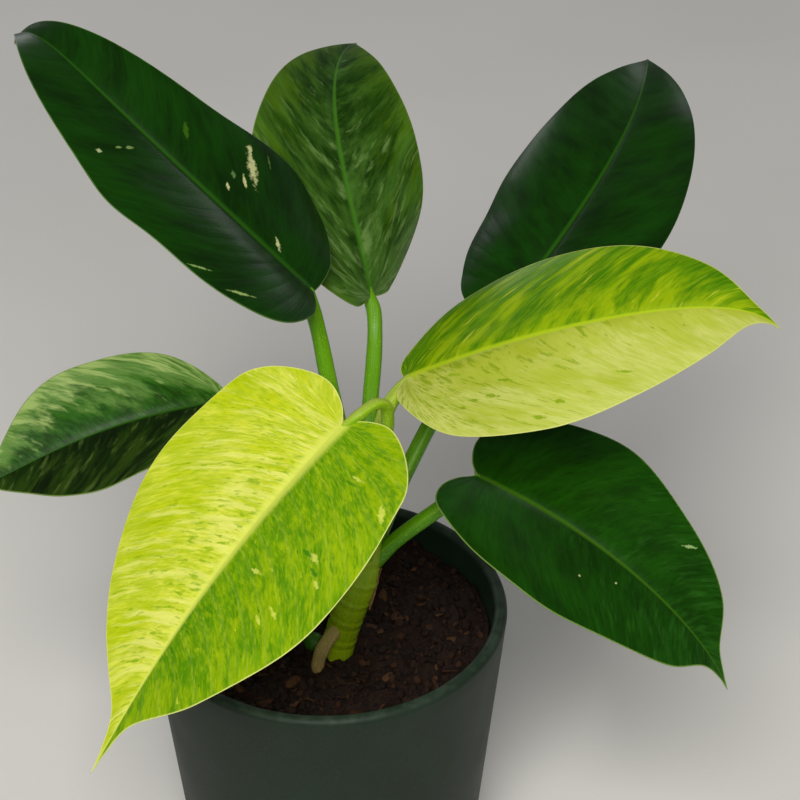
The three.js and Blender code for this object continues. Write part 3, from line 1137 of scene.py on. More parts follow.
@dataclass
class Blade:
    """A leaf blade: two faces, a rounded margin, a midrib with its rib below, and low relief at the veins.

    Attributes:
        shape: The leaf's form.
        rows: How many rows of points follow the side veins.
        thickness: How thick it is.
        edge_thickness: How thick at the margin.
        edge_reach: How far in from the margin it thins.
        edge_round: How far the margin's rounding stands out.
        rib_depth: How far the rib stands out below, at the base.
        rib_reach: Half the rib's width there.
        groove: How deep the midrib is sunk above.
        ridge: How high the midrib stands above, at the base alone.
        relief: How high the skin stands between side veins.
        puff: How far the skin wanders up and down.
        puff_size: The distance over which it does.
        vein_start: The share of the length over which the veins' lean grows.
        vein_fade: The share of the length over which it goes again by the tip.
        vein_curve: How strongly the veins bend towards the tip at the margin.
        waves: How often the margin rises and falls.
        wave_starts: Where each half's waves start.
        columns: The columns' places, from the midrib to the margin.
    """

    shape: LeafShape
    rows: int = 210
    thickness: float = 0.6
    edge_thickness: float = 0.3
    edge_reach: float = 4.0
    edge_round: float = 0.1
    rib_depth: float = 2.0
    rib_reach: float = 2.4
    groove: float = 0.4
    ridge: float = 0.9
    relief: float = 0.09
    puff: float = 0.7
    puff_size: float = 22.0
    vein_start: float = 0.42
    vein_fade: float = 0.7
    vein_curve: float = 2.3
    waves: float = 3.0
    wave_starts: dict[int, float] = field(default_factory=lambda: {1: 0.8, -1: 2.6})
    columns: tuple[float, ...] = (
        0, 0.008, 0.018, 0.03, 0.045, 0.065, 0.09, 0.13, 0.18, 0.24, 0.3, 0.36, 0.42, 0.48, 0.54,
        0.6, 0.66, 0.72, 0.78, 0.83, 0.88, 0.92, 0.95, 0.97, 0.983, 0.993, 1,
    )

    def __post_init__(self) -> None:
        """Runs the midrib's curve."""
        self.midrib = Midrib(self.shape)

    def margin(self, side: int, t: np.ndarray) -> np.ndarray:
        """One half's margin in the flat blade, from the notch at the stalk round the lobe to the tip.

        Args:
            side: 1 for the left half and -1 for the right.
            t: Places along it, from 0 to 1.

        Returns:
            Distances along the midrib, and to its left.
        """
        shape = self.shape
        full = shape.full_left if side > 0 else shape.full_right
        half_width = shape.left if side > 0 else shape.right
        ahead = 1 - shape.widest
        points = [
            (0, 0),
            (-0.62 * shape.lobe, 0.14 * shape.shoulder),
            (-shape.lobe, 0.38 * shape.shoulder),
            (-0.55 * shape.lobe, 0.68 * shape.shoulder),
            (0.33 * shape.widest, 0.79 + 0.13 * shape.shoulder),
            (shape.widest, 1),
            (shape.widest + 0.36 * ahead, full),
            (shape.widest + 0.68 * ahead, 0.56 * full),
            (1 - shape.drip, 0.115),
            (1 - 0.4 * shape.drip, 0.028),
            (1, 0),
        ]
        curve = centripetal(np.array(points) * (shape.length, side * half_width), t)
        if side > 0:
            at, reach, height = shape.swell
            curve[:, 1] += height * np.exp(-(((curve[:, 0] - at) / reach) ** 2))
        return curve

    def place(self, x: np.ndarray, y: np.ndarray, lift: np.ndarray | float) -> np.ndarray:
        """Points of the blade.

        Args:
            x: Distances along the midrib.
            y: Distances to its left.
            lift: Heights off the middle of the thickness.

        Returns:
            The points in the part's frame.
        """
        shape = self.shape
        place, left, up = self.midrib.at(x)
        half_width = (shape.left + shape.right) / 2
        bend = math.radians(shape.curl) / half_width
        fold = math.radians(shape.fold)
        away, side = np.abs(y), np.sign(y)
        lean = fold - bend * away
        out = (math.sin(fold) - np.sin(lean)) / bend
        rise = (np.cos(lean) - math.cos(fold)) / bend
        start = np.where(side > 0, self.wave_starts[1], self.wave_starts[-1])
        ripple = np.sin(2 * math.pi * self.waves * x / shape.length + start)
        wave = shape.wave * (away / half_width) ** 2 * ripple
        straight = np.where(side == 0, 1, np.cos(lean))
        normal = up * straight[..., None] - left * (side * np.sin(lean))[..., None]
        flat = place + left * (side * out)[..., None] + up * rise[..., None]
        return flat + normal * (wave + lift)[..., None]

    def row_places(self) -> np.ndarray:
        """Where the rows meet the margin: mostly at even distances, and closer where it turns.

        Returns:
            Places along the margin, from 0 to 1.
        """
        t = np.linspace(0, 1, 3001)
        run = sum(np.linalg.norm(np.diff(self.margin(side, t), axis=0), axis=1) for side in (1, -1))
        share = np.concatenate([[0], np.cumsum(run)]) / run.sum()
        return np.interp(np.linspace(0, 1, self.rows), 0.8 * share + 0.2 * t, t)

    def half(self, side: int, t: np.ndarray) -> dict[str, np.ndarray]:
        """The rows of one half, in the flat blade.

        Args:
            side: 1 for the left half and -1 for the right.
            t: The rows' places along the margin.

        Returns:
            Arrays of rows and columns: x, y, the share v of the way to the margin, and the distances
            across the veins, to the margin (edge) and from the midrib (out).
        """
        length = self.shape.length
        edges = {1: self.margin(1, t), -1: self.margin(-1, t)}
        level = (edges[1][:, 0] + edges[-1][:, 0]) / 2
        lead = np.clip((length - level) / (self.vein_fade * length), 0, 1)
        lead = lead * np.clip(level / (self.vein_start * length), 0, 1)
        foot = np.clip(level - self.shape.lead * length * lead, 0, length)
        v = np.array(self.columns)[None, :]
        arc = 0.5 * v + 0.5 * v**self.vein_curve
        x = foot[:, None] * (1 - arc) + edges[side][:, :1] * arc
        y = edges[side][:, 1:] * v

        # Across the veins, measured six tenths of the way out on both halves
        gap = 0
        for edge in edges.values():
            middle = np.stack([0.4 * foot + 0.6 * edge[:, 0], 0.6 * edge[:, 1]], axis=1)
            gap = gap + np.linalg.norm(np.diff(middle, axis=0), axis=1) / 2
        vein = np.concatenate([[0], np.cumsum(gap)])[:, None] + 0 * v

        line = self.margin(side, np.linspace(0, 1, 500))
        points = np.stack([x.ravel(), y.ravel()], axis=1)
        apart = ((points[:, None, :] - line[None, :, :]) ** 2).sum(axis=2)
        edge = np.sqrt(apart.min(axis=1)).reshape(x.shape)
        edge[:, -1] = 0
        out = np.hypot(np.minimum(x, 0), y)
        return {"x": x, "y": y, "v": v + 0 * x, "vein": vein, "edge": edge, "out": out}

    def heights(self, half: dict[str, np.ndarray], side: int) -> tuple[np.ndarray, np.ndarray]:
        """How far the two faces lie from the middle of the thickness.

        Args:
            half: The half's rows and columns.
            side: 1 for the left half and -1 for the right.

        Returns:
            Heights of the upper face, and of the lower one.
        """
        s = np.clip(half["x"] / self.shape.length, 0, 1)
        out, edge, vein = half["out"], half["edge"], half["vein"]
        gain = (self.thickness - self.edge_thickness) * smooth(edge, 0, self.edge_reach)
        thick = self.edge_thickness + gain
        taper = 1 - s
        groove = self.groove * np.sqrt(taper) * np.exp(-((out / (1.1 + 0.9 * taper)) ** 2))
        ridge = self.ridge * np.exp(-((half["x"] / 9) ** 2)) * np.exp(-((out / 1.9) ** 2))
        fades = smooth(out, 1, 6) * smooth(edge, 0.5, 7)
        crown = np.abs(np.sin(math.pi * vein / self.shape.spacing)) ** 0.7 - 0.6
        veins = self.relief * crown * fades
        seed = sum(map(ord, self.shape.name)) + (7 if side > 0 else 0)
        cloud = value_noise(half["x"] + 300, half["y"] + 300, self.puff_size, seed)
        slow = self.puff * cloud * smooth(out, 2, 14)
        at, beside, spread, height = self.shape.pucker
        away = np.hypot(half["x"] - at, half["y"] - beside)
        slow = slow + height * np.exp(-((away / spread) ** 2))
        top = thick / 2 - groove + ridge + veins + slow
        reach = self.rib_reach * taper + 0.5
        rib = self.rib_depth * taper * np.sqrt(np.clip(1 - (out / reach) ** 2, 0, 1))
        under = -thick / 2 - rib + veins + slow
        return top, under

    def rim(self, upper: np.ndarray, lower: np.ndarray, y: np.ndarray) -> np.ndarray:
        """The margin's rounded edge.

        Args:
            upper: The upper face's rows and columns of points.
            lower: The lower face's.
            y: The margin's distances from the midrib, with their sign.

        Returns:
            Rows of three points, from the upper face round to the lower one.
        """
        middle = (upper[:, -1] + lower[:, -1]) / 2
        away = middle - (upper[:, -2] + lower[:, -2]) / 2
        length = np.linalg.norm(away, axis=1, keepdims=True)
        outwards = np.where(length > 1e-6, away / np.maximum(length, 1e-6), 0)
        bulge = middle + outwards * self.edge_round * smooth(np.abs(y), 0, 2)[:, None]
        return np.stack([upper[:, -1], bulge, lower[:, -1]], axis=1)

    def build(self) -> Object:
        """Makes the blade.

        Returns:
            The blade, with its skin, tied to the frame.
        """
        shape = self.shape
        skin = Skin("flat", "vein", "edge", "layer")
        t = self.row_places()
        for side in (1, -1):
            half = self.half(side, t)
            top, under = self.heights(half, side)
            maps = {
                "flat": np.stack([half["x"], half["y"]], axis=-1) / 10,
                "vein": np.stack([half["vein"] / 10, side * half["v"]], axis=-1),
                "edge": np.stack([half["edge"], half["out"]], axis=-1) / 10,
            }
            upper = self.place(half["x"], half["y"], top)
            lower = self.place(half["x"], half["y"], under)
            ones = np.stack([np.ones_like(half["x"]), 0 * half["x"]], axis=-1)
            skin.grid(upper, flip=side < 0, layer=ones, **maps)
            skin.grid(lower, flip=side > 0, layer=0 * ones, **maps)

            # Round the margin, where the layer runs from 1 above to 0 below
            rows = len(upper)
            last = {name: np.repeat(values[:, -1:], 3, axis=1) for name, values in maps.items()}
            layer = np.stack([np.tile([1.0, 0.5, 0.0], (rows, 1)), np.zeros((rows, 3))], axis=-1)
            rim = self.rim(upper, lower, half["y"][:, -1])
            skin.grid(rim, flip=side < 0, layer=layer, **last)
        material = shape.finish.material(shape.length, shape.spacing)
        return settle(skin.make("leaf_" + shape.name), "blade_" + shape.name, material)


# Stems and stalks


@dataclass(frozen=True)
class ShootFinish:
    """The skin of a stem, a stalk, a bud or a root.

    Attributes:
        name: The material's name.
        lower: Its colour at the foot.
        upper: Its colour at the far end.
        top: The painted highlight colour that its upper side, the side facing the light, leans to.
        streak: The colour of its fine streaks.
        speck: The colour of its fine specks.
        gloss: Its roughness.
        rings: How many rings of old leaf scars it has.
        scar: The rings' colour.
    """

    name: str
    lower: Colour
    upper: Colour
    top: Colour
    streak: Colour
    speck: Colour
    gloss: float = 0.38
    rings: int = 0
    scar: Colour = (96, 92, 30)

    # Its reflection, and how strongly its upper side takes its painted highlight
    SPECULAR = 0.25
    LIT_SIDE_SHARE = 0.75

    @cache
    def material(self) -> Material:
        """Makes the material the first time that it is asked for.

        Returns:
            The same material for every piece of this skin.
        """
        graph = Graph("shoot_" + self.name)
        run, s = graph.uv("run")
        across, upward = graph.uv("ring")
        colour = graph.mix(graph.fade(s, 0.0, 0.8), linear(self.lower), linear(self.upper))
        # The upper side, which faces the light, is painted lighter: a painted highlight
        upper = graph.fade(upward, 0.0, 0.95)
        colour = graph.mix(graph.times(upper, self.LIT_SIDE_SHARE), colour, linear(self.top))
        at = graph.join(graph.times(across, 2.2), graph.times(upward, 2.2), graph.times(run, 0.35))
        cloud = graph.noise(at, 1.0, 3.0)
        at = graph.join(graph.times(across, 9.0), graph.times(upward, 9.0), graph.times(run, 0.5))
        streaks = graph.noise(at, 1.0, 2.0)
        colour = graph.mix(graph.fade(streaks, 0.48, 0.7, 0, 0.55), colour, linear(self.streak))
        colour = graph.mix(graph.fade(cloud, 0.42, 0.68, 0, 0.4), colour, linear(self.lower))
        specks = graph.cells(graph.place(), 900.0)
        colour = graph.mix(graph.fade(specks, 0.16, 0.28, 0.5, 0), colour, linear(self.speck))
        if self.rings:
            wave = graph.calc("ABSOLUTE", graph.calc("SINE", graph.times(s, math.pi * self.rings)))
            jitter = graph.plus(wave, graph.sway(cloud, 0.3))
            colour = graph.mix(graph.fade(jitter, 0.02, 0.16, 0.28, 0), colour, linear(self.scar))
        rough = graph.fade(streaks, 0.3, 0.7, self.gloss - 0.05, self.gloss + 0.08)
        normal = graph.bump(streaks, 0.12)
        normal = graph.bump(graph.noise(graph.place(), 1500.0, 2.0), 0.04, under=normal)
        graph.shade(Base_Color=colour, Roughness=rough, Normal=normal, Specular_IOR_Level=self.SPECULAR)
        return graph.material


# In each skin, top is the painted highlight of the side that faces the light
STALK_SKIN = ShootFinish(
    name="stalk",
    lower=(66, 122, 0),
    upper=(84, 142, 2),
    top=(104, 158, 10),
    streak=(50, 106, 0),
    speck=(140, 176, 50),
)
PALE_STALK_SKIN = ShootFinish(
    name="pale_stalk",
    lower=(92, 142, 0),
    upper=(140, 178, 10),
    top=(186, 200, 84),
    streak=(110, 158, 6),
    speck=(200, 212, 110),
)
STEM_SKIN = ShootFinish(
    name="stem",
    lower=(134, 152, 4),
    upper=(118, 152, 2),
    top=(140, 168, 12),
    streak=(98, 130, 2),
    speck=(170, 184, 70),
    gloss=0.45,
    rings=8,
)
ROOT_SKIN = ShootFinish(
    name="root",
    lower=(150, 136, 74),
    upper=(120, 96, 56),
    top=(168, 150, 92),
    streak=(112, 90, 48),
    speck=(190, 172, 120),
    gloss=0.7,
)
BUD_SKIN = ShootFinish(
    name="bud",
    lower=(52, 88, 20),
    upper=(44, 92, 18),
    top=(60, 108, 26),
    streak=(34, 66, 12),
    speck=(120, 140, 60),
    gloss=0.42,
)
DRY_SKIN = ShootFinish(
    name="dry_sheath",
    lower=(122, 96, 52),
    upper=(92, 66, 34),
    top=(150, 124, 74),
    streak=(70, 48, 24),
    speck=(176, 152, 100),
    gloss=0.75,
)


# How far a shoot's end stands out, as a share of its radius, and where the stem's top is in plan
DOME = 0.8
STEM_TOP = (15.0, -13.5)


def shoot(
    name: str,
    path: np.ndarray,
    radii: np.ndarray,
    sides: int,
    up: np.ndarray,
    flat: float = 0.0,
) -> Object:
    """A closed round shoot along a path, with a dome at each end.

    Args:
        name: The piece's name.
        path: Its centre line, a point for each ring.
        radii: A radius for each ring.
        sides: How many faces go round it.
        up: Which way its upper side faces, the side that its skin paints lighter as lit.
        flat: How far the upper side is flattened, as a share of the radius.

    Returns:
        The object.
    """
    forward = unit(np.gradient(path, axis=0))
    lift = unit(up - (forward @ up)[:, None] * forward)
    run = np.concatenate([[0], np.cumsum(np.linalg.norm(np.diff(path, axis=0), axis=1))])
    rings = [(path[i], radii[i], forward[i], lift[i], run[i]) for i in range(len(path))]
    turns = np.linspace(0, math.pi / 2, 7)[1:]
    for end, toward in ((0, -1), (-1, 1)):
        place, radius, ahead, above, at = rings[end]
        depth = toward * ahead * radius * DOME
        dome = [
            (place + depth * math.sin(turn), radius * math.cos(turn), ahead, above, at) for turn in turns
        ]
        rings = dome[::-1] + rings if end == 0 else rings + dome
    angle = np.linspace(0, 2 * math.pi, sides, endpoint=False)
    c, s = np.cos(angle), np.sin(angle)
    squash = 1 - flat * np.clip(c, 0, 1) ** 3
    points, ring_map, run_map = [], [], []
    for place, radius, ahead, above, at in rings:
        beside = np.cross(ahead, above)
        points.append(place + radius * (np.outer(c * squash, above) + np.outer(s, beside)))
        ring_map.append(np.stack([s, c], axis=1))
        run_map.append(np.tile([at / 10, at / run[-1]], (sides, 1)))
    skin = Skin("ring", "run")
    skin.grid(np.array(points), flip=True, wrap=True, ring=np.array(ring_map), run=np.array(run_map))
    return skin.make(name)


@dataclass
class Stalk:
    """A leaf stalk, from a foot inside the stem to the rib under its blade.

    Attributes:
        shape: The form of its leaf.
        radii: Its radii at even spacing.
        sides: How many faces go round it.
        rings: How many rings of points it has before the blade.
        reach: How far past the blade's base it meets the rib.
        drop: How far below the blade.
        run_on: How far on under the blade it ends.
        flat: How far its upper side is flattened, as a share of its radius.
    """

    shape: LeafShape
    radii: tuple[float, ...] = (4.3, 2.9, 2.9, 2.9, 2.3)
    sides: int = 28
    rings: int = 90
    reach: float = 1.0
    drop: float = 1.2
    run_on: float = 12.0
    flat: float = 0.16

    def build(self) -> Object:
        """Makes the stalk.

        Returns:
            The stalk, with its skin, tied to the frame.
        """
        shape = self.shape
        midrib = Midrib(shape)
        end = np.array(shape.at) + midrib.along[0] * self.reach - midrib.up[0] * self.drop
        path = even_path([*shape.way, tuple(end)], self.rings)
        s = np.linspace(0, 1, self.rings)
        radii = shape.thick * np.interp(s, np.linspace(0, 1, len(self.radii)), self.radii)
        radii = radii + 0.25 * np.exp(-(((s - 0.93) / 0.05) ** 2))

        # On under the blade, thinner and thinner, as the rib's beginning
        x = np.linspace(2.0, self.run_on, 8)
        place, _, above = midrib.at(x)
        path = np.vstack([path, place - above * np.linspace(1.25, 1.5, 8)[:, None]])
        radii = np.concatenate([radii, np.linspace(2.2 * shape.thick, 0.9, 8)])
        inward = unit(np.array([*STEM_TOP, 0.0]) - np.array([shape.at[0], shape.at[1], 0.0]))
        # The upper side, which leans in to the stem, takes the painted highlight of the lit side
        up = np.array([0, 0, 1.0]) + 0.45 * inward
        piece = shoot("stalk_skin_" + shape.name, path, radii, self.sides, up, self.flat)
        skin = PALE_STALK_SKIN if shape.slot is Slot.LEAF_LIME else STALK_SKIN
        return settle(piece, "stalk_" + shape.name, skin.material())


@dataclass
class Stem:
    """The main stem with its rings, a dry sheath, the aerial root and the bud at its foot.

    Attributes:
        route: The stem's route, from inside the soil to its top.
        radii: Its radii at even spacing.
        rings: How many rings old leaves left on it.
        ring_swell: How far a ring stands out.
        ring_groove: How deep the groove beside it is.
        ring_span: The stem's length, as its rings are spaced.
        root_route: The aerial root's route, down into the soil.
        root_radii: Its radii.
        bud_route: The bud's route, up out of the soil.
        bud_radii: Its radii.
        sheath_route: The dry sheath's route up the stem.
        sheath_radii: Its radii.
    """

    route: tuple[Point, ...] = (
        (2, -14, 88), (3.5, -14, 109), (8, -14, 128), (13, -14, 146), (*STEM_TOP, 160),
    )
    radii: tuple[float, ...] = (5.2, 5.8, 6, 6.6, 4.6)
    rings: int = 8
    ring_swell: float = 0.15
    ring_groove: float = 0.15
    ring_span: float = 72.0
    root_route: tuple[Point, ...] = ((3, -18, 121), (-0.5, -22, 118), (-3, -24, 112), (-3.2, -24.5, 102))
    root_radii: tuple[float, ...] = (2.4, 2.6, 2.3, 1.6)
    bud_route: tuple[Point, ...] = ((2, -12, 103), (-3, -13.5, 110), (-6.5, -14.5, 115), (-8, -15, 119.5))
    bud_radii: tuple[float, ...] = (3.2, 4.6, 3.4, 0.5)
    sheath_route: tuple[Point, ...] = (
        (15.2, -17, 130), (17, -16.6, 138), (18.4, -16.2, 144), (19.6, -16.6, 148),
    )
    sheath_radii: tuple[float, ...] = (0.3, 1.0, 0.8, 0.2)

    # Which way the upper sides of these pieces face: to the right, where their skins paint the lit side
    # lighter
    ACROSS = np.array([1.0, 0, 0])

    @staticmethod
    def spread(radii: tuple[float, ...], count: int) -> np.ndarray:
        """Radii for a number of rings, between given ones at even spacing."""
        return np.interp(np.linspace(0, 1, count), np.linspace(0, 1, len(radii)), radii)

    def trunk(self) -> Object:
        """The stem itself.

        Returns:
            The stem, with its skin, tied to the frame.
        """
        count = 200
        turns = np.linspace(0, 1, count) * self.rings
        near = np.abs(turns - np.round(turns)) / self.rings * self.ring_span
        rings = self.ring_swell * np.exp(-((near / 0.9) ** 2))
        grooves = self.ring_groove * np.exp(-(((near - 1.8) / 0.7) ** 2))
        radii = self.spread(self.radii, count) + rings - grooves
        piece = shoot("stem_skin", even_path(self.route, count), radii, 56, self.ACROSS)
        return settle(piece, "stem", STEM_SKIN.material())

    def root(self) -> Object:
        """The aerial root."""
        return self.sprout("aerial_root_skin", "aerial_root", self.root_route, self.root_radii, ROOT_SKIN)

    def bud(self) -> Object:
        """The bud at the stem's foot."""
        return self.sprout("bud_skin", "basal_bud", self.bud_route, self.bud_radii, BUD_SKIN)

    def sprout(
        self, name: str, node: str, route: tuple[Point, ...], sizes: tuple[float, ...], skin: ShootFinish
    ) -> Object:
        """A slightly knobbly shoot at the stem's foot.

        Args:
            name: The piece's name.
            node: The CAD node that it stands for.
            route: Its route.
            sizes: Its radii.
            skin: Its skin, which has the slot's name.

        Returns:
            The shoot, tied to the frame.
        """
        count = 60
        radii = self.spread(sizes, count) * (1 + 0.03 * np.sin(np.linspace(0, 21, count)))
        piece = shoot(name, even_path(route, count), radii, 32, self.ACROSS)
        return settle(piece, node, skin.material())

    def sheath(self) -> Object:
        """A sliver of an old leaf's dry sheath, which still clings to the stem.

        Returns:
            The sheath, tied to the frame.
        """
        count = 50
        radii = self.spread(self.sheath_radii, count)
        piece = shoot("dry_sheath", even_path(self.sheath_route, count), radii, 16, self.ACROSS, 0.5)
        return settle(piece, None, DRY_SKIN.material())

    def build(self) -> list[Object]:
        """Makes the stem and what grows at its foot."""
        return [self.trunk(), self.root(), self.bud(), self.sheath()]


# Pot and soil


@dataclass
class Pot:
    """A plain tapered pot with a rounded lip and a matt glaze.

    Attributes:
        height: Its height.
        rim_radius: Its outer radius just below the lip.
        base_radius: Its outer radius at the foot, before the rounding.
        wall: The wall's thickness, which the lip rounds over.
        floor: The floor's thickness.
        foot_rounding: The radius that the foot is rounded with.
        flats: Radii of the rings that the underside and the floor are divided by.
        segments: How many faces go round it.
    """

    height: float = 120.0
    rim_radius: float = 65.0
    base_radius: float = 54.0
    wall: float = 5.0
    floor: float = 5.0
    foot_rounding: float = 8.0
    flats: tuple[float, ...] = (0.0, 20.0, 36.0)
    segments: int = 160

    # The glaze's reflection, and the heights in metres between which a highlight is painted along the lip
    SPECULAR = 0.22
    LIP_HIGHLIGHT_FROM = 0.1182
    LIP_HIGHLIGHT_TO = 0.1198

    def radius(self, z: float) -> float:
        """The outer radius at a height."""
        return self.base_radius + (self.rim_radius - self.base_radius) * z / (self.height - self.wall / 2)

    def profile(self) -> np.ndarray:
        """The profile, from the middle of the underside round to the middle of the floor.

        Returns:
            Rows of a radius and a height.
        """
        foot, lip = self.foot_rounding, self.wall / 2
        inner = foot - lip
        corner = self.floor + inner
        top = self.height - lip

        def arc(x: float, z: float, radius: float, start: float, end: float, count: int = 10) -> list:
            """Points of an arc between two angles in quarter turns."""
            turns = np.linspace(start, end, count) * math.pi / 2
            return [(x + radius * math.cos(turn), z + radius * math.sin(turn)) for turn in turns]

        def face(start: float, end: float, inset: float) -> list:
            """Points of the wall between two heights."""
            return [(self.radius(z) - inset, z) for z in np.linspace(start, end, 16)[1:-1]]

        points = [(radius, 0.0) for radius in self.flats]
        points += arc(self.radius(foot) - foot, foot, foot, -1, 0)
        points += face(foot, top, 0)
        points += arc(self.rim_radius - lip, top, lip, 0, 2, 16)
        points += face(top, corner, self.wall)
        points += arc(self.radius(corner) - self.wall - inner, corner, inner, 0, -1)
        points += [(radius, self.floor) for radius in reversed(self.flats)]
        return np.array(points)

    def material(self) -> Material:
        """The matt glaze: cloudy, finely speckled, and with a painted highlight along the top of the lip.

        Returns:
            The material.
        """
        graph = Graph("pot_glaze")
        at = graph.place()
        height = graph.split(at)[2]
        cloud = graph.noise(at, 26.0, 4.0, 0.55)
        colour = graph.mix(graph.fade(cloud, 0.35, 0.65), linear((22, 36, 24)), linear((30, 45, 32)))
        grit = graph.noise(at, 900.0, 2.0)
        colour = graph.mix(graph.fade(grit, 0.56, 0.7, 0, 0.3), colour, linear((40, 55, 42)))
        specks = graph.cells(at, 420.0)
        colour = graph.mix(graph.fade(specks, 0.1, 0.22, 0.45, 0), colour, linear((17, 27, 19)))
        # Patchy lighter colour along the top of the lip: a painted highlight
        lip = graph.fade(height, self.LIP_HIGHLIGHT_FROM, self.LIP_HIGHLIGHT_TO)
        lip_highlight = graph.times(lip, graph.fade(graph.noise(at, 160.0, 3.0), 0.4, 0.62, 0.15, 0.6))
        colour = graph.mix(lip_highlight, colour, linear((56, 72, 58)))
        rough = graph.fade(cloud, 0.3, 0.7, 0.5, 0.62)
        normal = graph.bump(cloud, 0.5, 0.5, graph.bump(grit, 0.05))
        graph.shade(Base_Color=colour, Roughness=rough, Normal=normal, Specular_IOR_Level=self.SPECULAR)
        return graph.material

    def build(self) -> Object:
        """Makes the pot.

        Returns:
            The pot, with its glaze, tied to the frame.
        """
        profile = self.profile()
        turn = np.linspace(0, 2 * math.pi, self.segments, endpoint=False)
        radius, height = profile[:, :1], profile[:, 1:]
        points = np.stack([radius * np.cos(turn), radius * np.sin(turn), height + 0 * turn], axis=-1)
        skin = Skin()
        skin.grid(points, flip=True, wrap=True)
        return settle(skin.make("pot_glazed"), "pot", self.material())


@dataclass
class Soil:
    """Potting soil: a lumpy bed, and loose crumbs, flakes of bark and fibres on it.

    Attributes:
        pot: The pot that it fills.
        level: The height of the bed between lumps.
        lumps: How many lumps the solid has.
        lump_height: How high the middling ones are.
        lump_radius: How wide they are.
        clearance: The gap to the pot.
        rings: How many rings of points the bed's top has.
        segments: How many points there are in each.
        crumbs: How many crumbs lie on the bed.
        flakes: How many flakes of bark.
        fibres: How many fibres.
        fibre_steps: How many rings of points each fibre has.
        stem_foot: Where the stem comes out of the bed.
        stem_room: How far crumbs and flakes stay from there.
        fibre_room: How far along each axis the fibres lie at most.
    """

    pot: Pot
    level: float = 108.0
    lumps: int = 110
    lump_height: float = 3.0
    lump_radius: float = 6.0
    clearance: float = 0.6
    rings: int = 96
    segments: int = 256
    crumbs: int = 1500
    flakes: int = 170
    fibres: int = 120
    fibre_steps: int = 9
    stem_foot: tuple[float, float] = (3.2, -14.0)
    stem_room: float = 7.5
    fibre_room: float = 40.0

    # The soil's reflection, and the rule of the random numbers that the solid's lumps are placed by
    SPECULAR = 0.2
    SEED = 7
    FACTOR = 1664525
    STEP = 1013904223
    SPAN = 4294967296

    def __post_init__(self) -> None:
        """Places the lumps as the solid has them."""
        state = self.SEED
        values = []
        for _ in range(3 * self.lumps):
            state = (state * self.FACTOR + self.STEP) % self.SPAN
            values.append(state / self.SPAN)
        random = np.array(values).reshape(-1, 3)
        reach = self.pot.radius(self.level) - self.pot.wall
        turn = 2 * math.pi * random[:, 0]
        out = reach * np.sqrt(random[:, 1])
        self.size = 0.55 + 0.9 * random[:, 2]
        self.centres = np.stack([out * np.cos(turn), out * np.sin(turn)], axis=1)

    @property
    def reach(self) -> float:
        """The radius of the bed's top."""
        return self.pot.radius(self.level) - self.pot.wall - self.clearance

    def height(self, x: np.ndarray, y: np.ndarray) -> np.ndarray:
        """The bed's height.

        Args:
            x: Places in plan.
            y: The same places' other coordinate.

        Returns:
            A height for each place.
        """
        top = np.zeros_like(x)
        for centre, size in zip(self.centres, self.size):
            away = np.hypot(x - centre[0], y - centre[1]) / (self.lump_radius * size)
            top = np.maximum(top, self.lump_height * size * np.clip(1 - away**2, 0, 1))
        rough = sum(
            height * value_noise(x + 90, y + 90, size, seed)
            for height, size, seed in ((0.9, 4.3, 11), (0.6, 1.9, 12), (0.35, 0.9, 13))
        )
        return self.level + top + rough

    def bed(self) -> Object:
        """The closed body of soil with its rough top.

        Returns:
            The bed, with its material, tied to the frame.
        """
        out = self.reach * np.sqrt(np.linspace(1, 0, self.rings))
        turn = np.linspace(0, 2 * math.pi, self.segments, endpoint=False)
        x, y = out[:, None] * np.cos(turn), out[:, None] * np.sin(turn)
        top = np.stack([x, y, self.height(x, y)], axis=-1)
        wall = (self.pot.radius(12) - self.pot.wall - self.clearance, 12)
        profile = ((0, 5.3), (40, 5.3), (47, 7), wall, (self.reach, self.level - 1))
        low = [
            np.stack([radius * np.cos(turn), radius * np.sin(turn), z + 0 * turn], axis=-1)
            for radius, z in profile
        ]
        points = np.concatenate([np.array(low), top])
        tone = np.full((*points.shape[:2], 2), 0.4)
        skin = Skin("tone")
        skin.grid(points, flip=True, wrap=True, tone=tone)
        return settle(skin.make("soil_bed"), "soil", self.material)

    @cached_property
    def material(self) -> Material:
        """Dark damp soil, each crumb a little different.

        Returns:
            The same material for the bed and what lies on it.
        """
        graph = Graph("soil_crumb")
        at = graph.place()
        tone, wood = graph.uv("tone")
        fine = graph.noise(at, 700.0, 4.0, 0.65)
        coarse = graph.noise(at, 150.0, 3.0)
        colour = graph.mix(graph.fade(fine, 0.35, 0.68), linear((11, 5, 3)), linear((38, 20, 11)))
        colour = graph.mix(graph.fade(coarse, 0.4, 0.7, 0, 0.6), colour, linear((28, 14, 7)))
        colour = graph.mix(graph.fade(tone, 0.55, 1.0, 0, 0.7), colour, linear((56, 33, 18)))
        colour = graph.mix(graph.fade(tone, 0.0, 0.35, 0.7, 0), colour, linear((11, 6, 3)))
        colour = graph.mix(graph.fade(wood, 0.5, 1.0, 0, 0.8), colour, linear((80, 52, 29)))
        normal = graph.bump(fine, 0.5)
        rough = graph.fade(fine, 0.3, 0.7, 0.72, 0.95)
        graph.shade(Base_Color=colour, Roughness=rough, Normal=normal, Specular_IOR_Level=self.SPECULAR)
        return graph.material

    def spots(self, count: int, rng: np.random.Generator) -> np.ndarray:
        """Random places on the bed, clear of the stem.

        Args:
            count: How many are wanted.
            rng: Where the random numbers come from.

        Returns:
            A row of x and y for each.
        """
        found: list[tuple[float, float]] = []
        while len(found) < count:
            turn, out = 2 * math.pi * rng.random(), (self.reach - 1.5) * math.sqrt(rng.random())
            x, y = out * math.cos(turn), out * math.sin(turn)
            if math.hypot(x - self.stem_foot[0], y - self.stem_foot[1]) > self.stem_room:
                found.append((x, y))
        return np.array(found)

